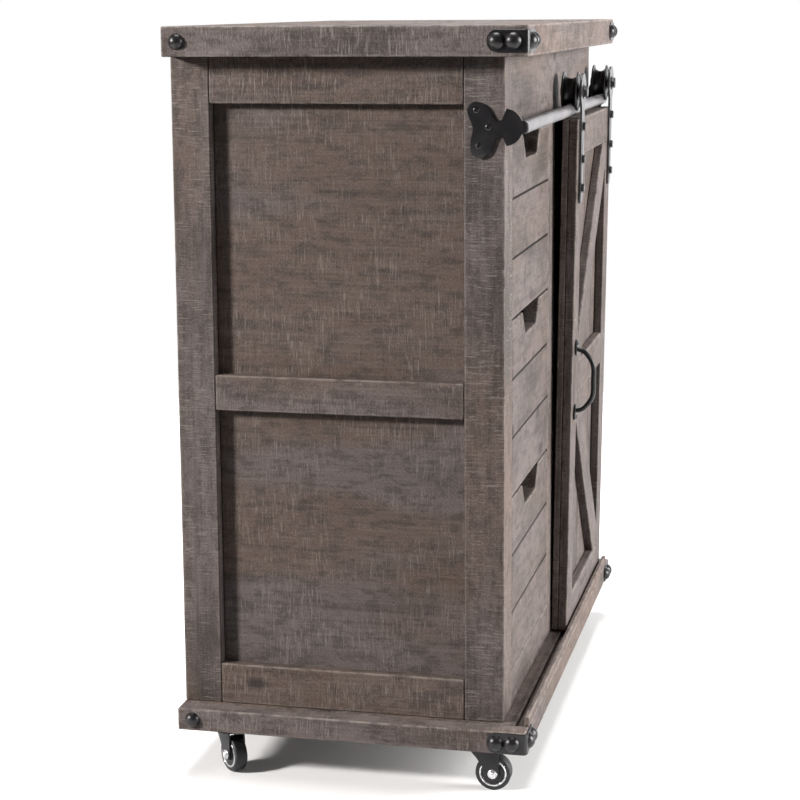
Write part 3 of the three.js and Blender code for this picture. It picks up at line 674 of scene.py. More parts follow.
def longest(low, high):
    size = high - low
    return (X, Y, Z)[max(range(3), key=lambda i: size[i])]


def board(work, low, high, along=None, place=None, chamfers=(), finish=0):
    """A plain board between two corners."""
    low, high = Vector(low), Vector(high)
    outline = [
        (low.x, low.y, low.z),
        (high.x, low.y, low.z),
        (high.x, low.y, high.z),
        (low.x, low.y, high.z),
    ]
    reach = Y * (high.y - low.y)
    plank(work, outline, reach, along or longest(low, high), place=place, chamfers=chamfers, finish=finish)


def upright_planks(work, low, high, planks, place=None):
    """Boards side by side between two corners, with upright grain."""
    wide = (high.x - low.x) / planks
    for i in range(planks):
        left = low.x + i * wide
        board(work, (left, low.y, low.z), (left + wide, high.y, high.z), along=Z, place=place)


def plain_boards(names, body, finish, slot="weathered_wood"):
    """One eased board for each node."""
    for node in names:
        work = Work("board_" + node, finish, meets=meeting(node, FIXED_BOARDS))
        board(work, *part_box(node))
        work.finish(body, slot, [node])


def turned(work, profile, centre, axis, segments=48, closed=False, finish=0, smooth=True, place=None):
    """A round part: a profile of (radius, distance along the axis) turned about that axis."""
    work.begin()
    axis = Vector(axis).normalized()
    side = axis.orthogonal().normalized()
    up = axis.cross(side)
    rings = []
    for radius, height in profile:
        middle = Vector(centre) + axis * height
        if radius < 1e-7:
            rings.append([work.bm.verts.new(middle)])
            continue
        ring = []
        for i in range(segments):
            angle = 2 * math.pi * i / segments
            ring.append(work.bm.verts.new(middle + radius * (side * math.cos(angle) + up * math.sin(angle))))
        rings.append(ring)
    pairs = list(zip(rings, rings[1:]))
    if closed:
        pairs.append((rings[-1], rings[0]))
    for first, second in pairs:
        if len(first) == 1 and len(second) == 1:
            continue
        for i in range(segments):
            j = (i + 1) % segments
            if len(first) == 1:
                work.bm.faces.new((first[0], second[j], second[i]))
            elif len(second) == 1:
                work.bm.faces.new((first[i], first[j], second[0]))
            else:
                work.bm.faces.new((first[i], first[j], second[j], second[i]))
    work.end(finish=finish, smooth=smooth, place=place)


def sheet_metal(work, outline, reach, edge, finish=0, place=None):
    """A flat plate cut to an outline, with softly rounded rims."""
    work.begin()
    prism(work, outline, reach)
    caps = [f for f in work.fresh_faces() if len(f.verts) == len(outline) and len(outline) > 4]
    rims = list({e for f in (caps or work.fresh_faces()) for e in f.edges})
    rounded_edges(work, rims, edge)
    work.end(finish=finish, smooth=True, place=place)


def arc(centre, radius, start, stop, steps):
    """Points on a circle between two angles in degrees."""
    points = []
    for i in range(steps + 1):
        angle = math.radians(start + (stop - start) * i / steps)
        points.append((centre[0] + radius * math.cos(angle), centre[1] + radius * math.sin(angle)))
    return points


def curve_through(points, steps):
    """A smooth line through points of any dimension."""
    last = len(points) - 1
    line = []
    for i in range(last):
        p = [Vector(points[min(max(i + k, 0), last)]) for k in (-1, 0, 1, 2)]
        for step in range(steps):
            t = step / steps
            line.append(
                0.5
                * (
                    2 * p[1]
                    + (p[2] - p[0]) * t
                    + (2 * p[0] - 5 * p[1] + 4 * p[2] - p[3]) * t * t
                    + (3 * p[1] - p[0] - 3 * p[2] + p[3]) * t * t * t
                )
            )
    line.append(Vector(points[-1]))
    return line


def swept_bar(work, route, radii, sides=20, finish=0, place=None):
    """A round bar along a line of points, with a radius at each."""
    work.begin()
    rings = []
    side = None
    for i, point in enumerate(route):
        ahead = (route[min(i + 1, len(route) - 1)] - route[max(i - 1, 0)]).normalized()
        side = ahead.orthogonal() if side is None else side - ahead * side.dot(ahead)
        side.normalize()
        up = ahead.cross(side)
        ring = []
        for k in range(sides):
            angle = 2 * math.pi * k / sides
            ring.append(work.bm.verts.new(point + radii[i] * (side * math.cos(angle) + up * math.sin(angle))))
        rings.append(ring)
    for first, second in zip(rings, rings[1:]):
        for k in range(sides):
            j = (k + 1) % sides
            work.bm.faces.new((first[k], first[j], second[j], second[k]))
    work.bm.faces.new(rings[0][::-1])
    work.bm.faces.new(rings[-1])
    work.end(finish=finish, smooth=True, place=place)


def nail_head(work, centre, axis, radius, tall):
    """A domed nail head on a thin collar."""
    ball = (radius * radius + tall * tall) / (2 * tall)
    reach = math.asin(min(1.0, radius / ball))
    profile = [(radius * 0.97, -0.0008), (radius, 0.0)]
    steps = 9
    for i in range(1, steps + 1):
        angle = reach * (1 - i / steps)
        profile.append((ball * math.sin(angle) if i < steps else 0.0, ball * math.cos(angle) - ball + tall))
    turned(work, profile, centre, axis, segments=36)


def pan_screw(work, centre, axis, radius, tall, finish=0, place=None):
    """A pan-head screw with a recess."""
    profile = [
        (radius * 0.96, -0.0005),
        (radius, tall * 0.25),
        (radius * 0.86, tall * 0.72),
        (radius * 0.5, tall),
        (radius * 0.34, tall * 0.96),
        (radius * 0.26, tall * 0.4),
        (0.0, tall * 0.3),
    ]
    turned(work, profile, centre, axis, segments=24, finish=finish, place=place)


def round_bar(work, radius, near, far, centre, axis, segments, finish=0, place=None):
    """A plain bar or disc between two distances along an axis."""
    profile = [(0.0, near), (radius, near), (radius, far), (0.0, far)]
    turned(work, profile, centre, axis, segments=segments, finish=finish, place=place)


def hex_head(work, centre, axis, across, tall, place=None):
    """A hexagon bolt head with a turned top, on a washer."""
    radius = across / math.sqrt(3)
    washer = tall * 0.16
    round_bar(work, radius * 1.25, 0.0, washer, centre, axis, 32, place=place)
    head = [(0.0, washer), (radius, washer), (radius, tall * 0.82), (radius * 0.86, tall), (0.0, tall)]
    turned(work, head, centre, axis, segments=6, smooth=False, place=place)


# ---------------------------------------------------------------- where things are


def door_place():
    """The door's own frame: the middle of the left roller, leaning as the rollers' axle says."""
    axle = JOINTS["roller_spin_left"]
    lean = math.atan2(axle["axis"][2], axle["axis"][1])
    return Matrix.Translation(Vector(axle["pos_m"])) @ Matrix.Rotation(lean, 4, "X")


def local_points(node, place):
    inverse = place.inverted()
    return [inverse @ vert.co for vert in frame["nodes"][node].data.vertices]


def local_box(node, place):
    points = local_points(node, place)
    low = Vector(min(p[i] for p in points) for i in range(3))
    high = Vector(max(p[i] for p in points) for i in range(3))
    return low, high


def caster_place(place):
    """A caster's own frame: on the floor under its swivel, X along its axle."""
    swivel = Vector(JOINTS["caster_swivel_" + place]["pos_m"])
    axle = Vector(JOINTS["wheel_roll_" + place]["axis"])
    axle = Vector((axle.x, axle.y, 0)).normalized()
    ahead = Z.cross(axle)
    turn = Matrix((axle, ahead, Z)).transposed().to_4x4()
    return Matrix.Translation((swivel.x, swivel.y, 0)) @ turn


# ---------------------------------------------------------------- operators: the boards


class CART_OT_slabs(bpy.types.Operator):
    """Top and base boards with their end strips, and the lip that guides the door"""

    bl_idname = "cart.slabs"
    bl_label = "Top and base"

    def execute(self, context):
        self.top_board()
        self.base_board()
        plain_boards(["door_guide"], "cabinet", "stained_frame")
        return {"FINISHED"}

    def top_board(self):
        low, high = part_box("top_board")
        strip = 45 * MM
        work = Work("slab_top", "stained_slab", meets=meeting("top_board", FIXED_BOARDS))
        board(work, low, (low.x + strip, high.y, high.z), along=Y)
        board(work, (high.x - strip, low.y, low.z), high, along=Y)
        planks = 3
        wide = (high.y - low.y) / planks
        for i in range(planks):
            front = low.y + i * wide
            board(work, (low.x + strip, front, low.z), (high.x - strip, front + wide, high.z), along=X)
        work.finish("cabinet", "weathered_wood", ["top_board"])

    def base_board(self):
        low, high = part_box("base_board")
        lip_low, lip_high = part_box("door_guide")
        strip = lip_low.x - low.x - 1 * MM
        groove_back = lip_high.y + 11 * MM
        floor = high.z - 6 * MM
        work = Work("slab_base", "stained_slab", meets=meeting("base_board", FIXED_BOARDS))
        board(work, low, (low.x + strip, high.y, high.z), along=Y)
        board(work, (high.x - strip, low.y, low.z), high, along=Y)
        left, right = low.x + strip, high.x - strip
        board(work, (left, groove_back, low.z), (right, high.y, high.z), along=X)
        board(work, (left, low.y, low.z), (right, lip_high.y, high.z), along=X)
        board(work, (left, lip_high.y, low.z), (right, groove_back, floor), along=X)
        work.finish("cabinet", "weathered_wood", ["base_board"])


class CART_OT_carcass(bpy.types.Operator):
    """Posts, rails and panels of the cabinet, and what is inside it"""

    bl_idname = "cart.carcass"
    bl_label = "Carcass"

    def execute(self, context):
        posts = ["front_post_left", "front_post_right", "rear_post_left", "rear_post_right", "mid_post"]
        rails = [f"{side}_{level}_rail" for side, _ in SIDES for level in ("top", "mid", "bottom")]
        plain_boards(posts + rails + ["front_top_rail", "front_bottom_rail"], "cabinet", "stained_frame")
        plain_boards(["floor_panel", "shelf"], "cabinet", "inside_boards", "inner_wood")
        self.back_panel()
        self.side_panels()
        self.divider()
        return {"FINISHED"}

    def runner_heights(self):
        """Bottom and top of the runner under each drawer box."""
        tall, gap = 14 * MM, 0.3 * MM
        feet = [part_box(f"drawer_box_{number}")[0].z for number in DRAWER_NUMBERS]
        return [(foot - gap - tall, foot - gap) for foot in feet]

    def cleat(self):
        """Bottom and top of the cleats under the shelf."""
        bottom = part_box("shelf")[0].z
        return bottom - 20 * MM, bottom

    def side_panels(self):
        thick = 6 * MM
        low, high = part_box("left_panel")
        outer = low.x
        work = Work("panel_left", "stained_panel", "inside_boards", meets=meeting("", FIXED_BOARDS))
        board(work, low, (outer + thick, high.y, high.z), along=Y)
        for bottom, top in self.runner_heights():
            board(work, (outer + thick, low.y, bottom), (high.x, high.y, top), along=Y, finish=1)
        work.finish("cabinet", "weathered_wood", ["left_panel"])

        low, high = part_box("right_panel")
        work = Work("panel_right", "stained_panel", "inside_boards", meets=meeting("", FIXED_BOARDS))
        board(work, (high.x - thick, low.y, low.z), high, along=Y)
        bottom, top = self.cleat()
        board(work, (low.x, low.y, bottom), (high.x - thick, high.y, top), along=Y, finish=1)
        work.finish("cabinet", "weathered_wood", ["right_panel"])

    def divider(self):
        low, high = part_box("divider_panel")
        half = 6 * MM
        work = Work("panel_divider", "inside_boards")
        board(work, (-half, low.y, low.z), (half, high.y, high.z), along=Z)
        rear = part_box("left_panel")[1].y
        for bottom, top in self.runner_heights():
            board(work, (low.x, low.y, bottom), (-half, rear, top), along=Y)
        bottom, top = self.cleat()
        board(work, (half, low.y, bottom), (high.x, rear, top), along=Y)
        work.finish("cabinet", "inner_wood", ["divider_panel"])

    def back_panel(self):
        """A thin back, let in between the rear posts and screwed to the divider."""
        low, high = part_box("back_panel")
        work = Work("panel_back", "stained_panel", "black_paint", meets=meeting("back_panel", FIXED_BOARDS))
        planks = 4
        upright_planks(work, low, high, planks)
        wide = (high.x - low.x) / planks
        inset = 14 * MM
        columns = [low.x + inset, low.x + wide - inset, 0.0, high.x - wide + inset, high.x - inset]
        for x in columns:
            for share in (0.03, 0.27, 0.5, 0.73, 0.97):
                z = low.z + share * (high.z - low.z)
                spot = (x, high.y - 0.9 * MM, z)
                pan_screw(work, spot, Y, 3.2 * MM, 0.85 * MM, finish=1)
        work.finish("cabinet", "weathered_wood", ["back_panel"])


class CART_OT_drawers(bpy.types.Operator):
    """Drawer fronts of three grooved planks with a notch to pull by, and their boxes"""

    bl_idname = "cart.drawers"
    bl_label = "Drawers"

    def execute(self, context):
        for number in DRAWER_NUMBERS:
            self.front(number)
            self.box(number)
        return {"FINISHED"}

    def front(self, number):
        low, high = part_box(f"drawer_front_{number}")
        work = Work(f"front_drawer_{number}", "stained_front")
        planks = 3
        tall = (high.z - low.z) / planks
        middle = (low.x + high.x) / 2
        wide, narrow, deep = 65 * MM, 42.5 * MM, 30 * MM
        for i in range(planks):
            bottom = low.z + i * tall
            top = bottom + tall
            outline = [(low.x, low.y, bottom), (high.x, low.y, bottom), (high.x, low.y, top)]
            seams = []
            if i > 0:
                seams.append(Vector((middle, low.y, bottom)))
            if i < planks - 1:
                seams.append(Vector((middle, low.y, top)))
            else:
                outline += [
                    (middle + wide, low.y, top),
                    (middle + narrow, low.y, top - deep),
                    (middle - narrow, low.y, top - deep),
                    (middle - wide, low.y, top),
                ]
            outline.append((low.x, low.y, top))
            plank(work, outline, Y * (high.y - low.y), X, chamfers=seams)
        work.finish(f"drawer_{number}", "weathered_wood", [f"drawer_front_{number}"])

    def box(self, number):
        low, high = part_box(f"drawer_box_{number}")
        wall, bottom = 10 * MM, 6 * MM
        work = Work(f"box_drawer_{number}", "inside_boards")
        board(work, low, (low.x + wall, high.y, high.z), along=Y)
        board(work, (high.x - wall, low.y, low.z), high, along=Y)
        board(work, (low.x + wall, low.y, low.z), (high.x - wall, low.y + wall, high.z), along=X)
        board(work, (low.x + wall, high.y - wall, low.z), (high.x - wall, high.y, high.z), along=X)
        inner_low = (low.x + wall, low.y + wall, low.z)
        board(work, inner_low, (high.x - wall, high.y - wall, low.z + bottom), along=Y)
        work.finish(f"drawer_{number}", "inner_wood", [f"drawer_box_{number}"])


class CART_OT_door(bpy.types.Operator):
    """Sliding door: a panel, its frame and two braces that meet at the mid rail"""

    bl_idname = "cart.door"
    bl_label = "Door"

    def execute(self, context):
        place = door_place()
        self.panel(place)
        upright = ("door_stile_left", "door_stile_right")
        level = ("door_rail_top", "door_rail_mid", "door_rail_bottom")
        for node in upright + level:
            low, high = local_box(node, place)
            others = [local_box(name, place) for name in DOOR_BOARDS if name != node]
            work = Work("board_" + node, "stained_front", meets=others)
            board(work, low, high, along=Z if node in upright else X, place=place)
            work.finish("door", "weathered_wood", [node])
        for node in ("door_brace_upper", "door_brace_lower"):
            self.brace(node, place)
        return {"FINISHED"}

    def panel(self, place):
        low, high = local_box("door_panel", place)
        frame_boxes = [local_box(name, place) for name in DOOR_BOARDS]
        work = Work("panel_door", "stained_front", meets=frame_boxes)
        upright_planks(work, low, high, 4, place=place)
        work.finish("door", "weathered_wood", ["door_panel"])

    def brace(self, node, place):
        points = local_points(node, place)
        front = min(p.y for p in points)
        back = max(p.y for p in points)
        corners = {(round(p.x, 5), round(p.z, 5)) for p in points}
        cx = sum(p[0] for p in corners) / len(corners)
        cz = sum(p[1] for p in corners) / len(corners)
        loop = sorted(corners, key=lambda p: math.atan2(p[1] - cz, p[0] - cx))
        sides = zip(loop, loop[1:] + loop[:1])
        _, a, b = max((Vector((a[0] - b[0], 0, a[1] - b[1])).length, a, b) for a, b in sides)
        along = Vector((a[0] - b[0], 0, a[1] - b[1])).normalized()
        outline = [(x, front, z) for x, z in loop]
        work = Work("board_" + node, "stained_front")
        plank(work, outline, Y * (back - front), along, place=place)
        work.finish("door", "weathered_wood", [node])


# ---------------------------------------------------------------- operators: the hardware


class CART_OT_rod(bpy.types.Operator):
    """Round rod across the front, and the lobed plates that hold its ends"""

    bl_idname = "cart.rod"
    bl_label = "Rod and end plates"

    def execute(self, context):
        low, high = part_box("rod")
        radius = (high.z - low.z) / 2
        centre = Vector((0, (low.y + high.y) / 2, (low.z + high.z) / 2))
        chamfer = 0.8 * MM
        profile = [
            (0.0, low.x),
            (radius - chamfer, low.x),
            (radius, low.x + chamfer),
            (radius, 0.5 * low.x),
            (radius, 0.0),
            (radius, 0.5 * high.x),
            (radius, high.x - chamfer),
            (radius - chamfer, high.x),
            (0.0, high.x),
        ]
        work = Work("rod_bar", "rod_painted_sheen")
        turned(work, profile, centre, X, segments=64)
        work.finish("cabinet", "rod_steel", ["rod"])
        for side, sign in SIDES:
            self.plate(side, sign, centre)
        return {"FINISHED"}

    def plate(self, side, sign, rod):
        """Outline in millimetres behind the cabinet's face and above the rod."""
        low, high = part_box("rod_plate_" + side)
        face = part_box("front_post_left")[0].y
        head = [
            (2.6, -9.6), (6.5, -8.6), (10.4, -12.6), (13.0, -20.0), (16.6, -29.4), (22.5, -34.6),
            (29.5, -36.4), (36.6, -33.6), (41.0, -26.4), (40.4, -17.0), (38.3, -8.0), (38.0, 0.0),
            (41.2, 9.6), (44.3, 17.6), (43.6, 24.6), (37.6, 29.2), (30.4, 29.2), (22.6, 25.4),
            (17.8, 20.0), (14.0, 12.4), (9.4, 7.4), (5.6, 7.0), (2.6, 9.6),
        ]
        smooth_head = [tuple(p) for p in curve_through(head, 3)]
        # The half disc runs up its front from top to bottom; the head comes back from bottom to top.
        loop = [(-x, z) for x, z in arc((0, 0), 21.7, -84.7, 84.7, 28)][::-1]
        loop += smooth_head
        x = low.x if sign < 0 else high.x
        reach = X * ((high.x - low.x) * -sign)
        outline = [(x, face + back * MM, rod.z + up * MM) for back, up in loop]
        work = Work("plate_rod_" + side, "black_paint")
        sheet_metal(work, outline, reach, 0.5 * MM)
        for back, up in ((33.6, 19.8), (19.2, 0.0), (30.6, -22.0)):
            spot = (x + sign * -0.2 * MM, face + back * MM, rod.z + up * MM)
            pan_screw(work, spot, X * sign, 3.9 * MM, 1.7 * MM)
        work.finish("cabinet", "black_steel", ["rod_plate_" + side])


class CART_OT_straps(bpy.types.Operator):
    """Corner straps with domed nails, and the single nails near the rear corners"""

    bl_idname = "cart.straps"
    bl_label = "Corner straps and nails"

    def execute(self, context):
        for level, slab in (("top", "top_board"), ("base", "base_board")):
            low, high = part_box(slab)
            for side, sign in SIDES:
                node = f"strap_{level}_{side}"
                self.strap(node, sign, low, high)
                self.rear_nail(level, side, sign, low, high)
        return {"FINISHED"}

    def strap(self, node, sign, low, high):
        strap_low, strap_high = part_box(node)
        middle = (strap_low.z + strap_high.z) / 2
        half = 13 * MM
        long, tip, thick, bend = 47.5 * MM, 12 * MM, 2 * MM, 4 * MM
        corner = Vector((high.x if sign > 0 else low.x, low.y, middle))
        work = Work("corner_" + node, "black_paint")
        work.begin()

        def half_height(run):
            """The strap's end is rounded over the length of its tip."""
            past = max(0.0, run - (long - tip))
            return max(half - tip + math.sqrt(max(0.0, tip * tip - past * past)), 1.2 * MM)

        stations = [long - tip + tip * math.sin(math.pi / 2 * (1 - i / 12)) for i in range(13)]
        stations += [long - tip - 8 * MM, 20 * MM, 10 * MM, bend]
        columns = [(Vector((0, run, 0)), Vector((-1, 0, 0)), half_height(run)) for run in stations]
        for i in range(1, 6):
            angle = math.pi / 2 * i / 6
            outward = Vector((-math.cos(angle), -math.sin(angle), 0))
            inner = Vector((bend, bend, 0)) + outward * bend
            columns.append((inner, outward, half))
        for run in stations[::-1]:
            columns.append((Vector((run, 0, 0)), Vector((0, -1, 0)), half_height(run)))
        verts = []
        rim = 0.5 * MM
        for base, outward, tall in columns:
            outer = base + outward * thick
            shoulder = base + outward * (thick - rim)
            section = (
                base - Z * tall, shoulder - Z * tall, outer - Z * (tall - rim),
                outer + Z * (tall - rim), shoulder + Z * tall, base + Z * tall,
            )
            verts.append([
                work.bm.verts.new((corner.x - sign * p.x, corner.y + p.y, corner.z + p.z)) for p in section
            ])
        count = len(verts[0])
        for first, second in zip(verts, verts[1:]):
            for k in range(count):
                j = (k + 1) % count
                work.bm.faces.new((first[k], first[j], second[j], second[k]))
        work.bm.faces.new(verts[0])
        work.bm.faces.new(verts[-1])
        work.end(smooth=True)
        radius, tall = 10 * MM, 6.9 * MM
        for run in (17 * MM, 36.5 * MM):
            side_spot = corner + Vector((sign * thick, run, 0))
            front_spot = corner + Vector((-sign * run, -thick, 0))
            nail_head(work, side_spot, X * sign, radius, tall)
            nail_head(work, front_spot, -Y, radius, tall)
        work.finish("cabinet", "black_steel", [node])

    def rear_nail(self, level, side, sign, low, high):
        x = high.x if sign > 0 else low.x
        work = Work(f"nail_{level}_{side}", "black_paint")
        inset, radius, tall = 19 * MM, 9.6 * MM, 7.2 * MM
        spot = (x, high.y - inset, (low.z + high.z) / 2)
        nail_head(work, spot, X * sign, radius, tall)
        work.finish("cabinet", "black_steel")


class CART_OT_hangers(bpy.types.Operator):
    """Flat strap hangers bolted to the door, and the grooved rollers on the rod"""

    bl_idname = "cart.hangers"
    bl_label = "Hangers and rollers"

    def execute(self, context):
        for side, _ in SIDES:
            axle = JOINTS["roller_spin_" + side]
            place = door_place()
            place.translation = Vector(axle["pos_m"])
            self.hanger(side, place)
            self.roller(side, place)
        return {"FINISHED"}

    def hanger(self, side, place):
        front = -17.3 * MM
        thick = 3 * MM
        half, head, long = 12, 24, 151
        neck = math.degrees(math.asin(half / head))
        loop = arc((0, 0), head, -90 + neck + 8, 270 - neck - 8, 44)
        loop += [(-half - 1.2, -head * 0.93), (-half, -head * 1.06)]
        loop += arc((0, half - long), half, 180, 360, 16)
        loop += [(half, -head * 1.06), (half + 1.2, -head * 0.93)]
        outline = [(x * MM, front, z * MM) for x, z in loop]
        work = Work("hanger_strap_" + side, "black_paint", "hanger_steel")
        sheet_metal(work, outline, Y * thick, 0.5 * MM, finish=1, place=place)
        for z in (-47, -91, -130):
            spot = Vector((0, front + 0.1 * MM, z * MM))
            hex_head(work, spot, -Y, 10 * MM, 4 * MM, place=place)
        # The roller's axle, its collars and its nut
        end = 11 * MM
        hex_head(work, (0, front, 0), -Y, 14 * MM, 5.5 * MM, place=place)
        washer, nut = end + 0.8 * MM, end + 3 * MM
        round_bar(work, 8 * MM, front + thick, -end, (0, 0, 0), Y, 32, place=place)
        round_bar(work, 4 * MM, -end, end, (0, 0, 0), Y, 24, place=place)
        round_bar(work, 8 * MM, end, washer, (0, 0, 0), Y, 32, place=place)
        profile = [
            (0, washer), (7.2 * MM, washer), (7.2 * MM, end + 2.6 * MM), (6.2 * MM, nut), (0, nut),
        ]
        turned(work, profile, (0, 0, 0), Y, segments=6, smooth=False, place=place)
        work.finish("door", "black_steel", ["hanger_" + side])

    def roller(self, side, place):
        rim, root, half, flange = 26 * MM, 17 * MM, 10.5 * MM, 1.8 * MM
        bore = 4.3 * MM
        round_off = 0.9 * MM
        groove_half = half - flange
        dish = -half + 0.8 * MM
        cheek = [
            (bore, -half), (rim * 0.42, -half), (rim * 0.45, dish), (rim * 0.86, dish), (rim * 0.89, -half),
            (rim - round_off, -half), (rim - 0.3 * round_off, -half + 0.3 * round_off),
            (rim, -half + round_off),
        ]
        groove = []
        for i in range(21):
            angle = math.pi * i / 20
            groove.append((rim - (rim - root) * math.sin(angle), -groove_half * math.cos(angle)))
        profile = cheek + groove + [(r, -h) for r, h in cheek[::-1]]
        work = Work("roller_wheel_" + side, "black_paint")
        turned(work, profile, (0, 0, 0), Y, segments=72, closed=True, place=place)
        work.finish("door_roller_" + side, "black_steel", ["roller_" + side])


class CART_OT_handle(bpy.types.Operator):
    """Bowed door handle on two screwed pads"""

    bl_idname = "cart.handle"
    bl_label = "Handle"

    def execute(self, context):
        place = door_place()
        low, high = local_box("handle", place)
        middle = (low + high) / 2
        place = place @ Matrix.Translation((middle.x, high.y, middle.z))
        pad = 3 * MM
        spacing = (high.z - low.z - 22 * MM) / 2
        out = low.y - high.y + 4.1 * MM
        work = Work("handle_bow", "black_paint")
        for sign in (-1, 1):
            loop = [(10 * math.cos(a), sign * spacing / MM + 11 * math.sin(a)) for a in
                    [2 * math.pi * i / 28 for i in range(28)]]
            outline = [(x * MM, -pad, z * MM) for x, z in loop]
            sheet_metal(work, outline, Y * pad, 0.8 * MM, place=place)
            pan_screw(work, (0, -pad, sign * (spacing + 6.2 * MM)), -Y, 3 * MM, 1.4 * MM, place=place)
        reach = spacing - 2 * MM
        points = [
            (0, -1.5 * MM, -reach), (0, out * 0.52, -reach * 0.90), (0, out * 0.95, -reach * 0.52),
            (0, out, 0), (0, out * 0.95, reach * 0.52), (0, out * 0.52, reach * 0.90), (0, -1.5 * MM, reach),
        ]
        route = curve_through(points, 8)
        count = len(route) - 1
        radii = [(3.0 + 0.5 * math.sin(math.pi * i / count)) * MM for i in range(count + 1)]
        swept_bar(work, route, radii, place=place)
        work.finish("door", "black_steel", ["handle"])
        return {"FINISHED"}


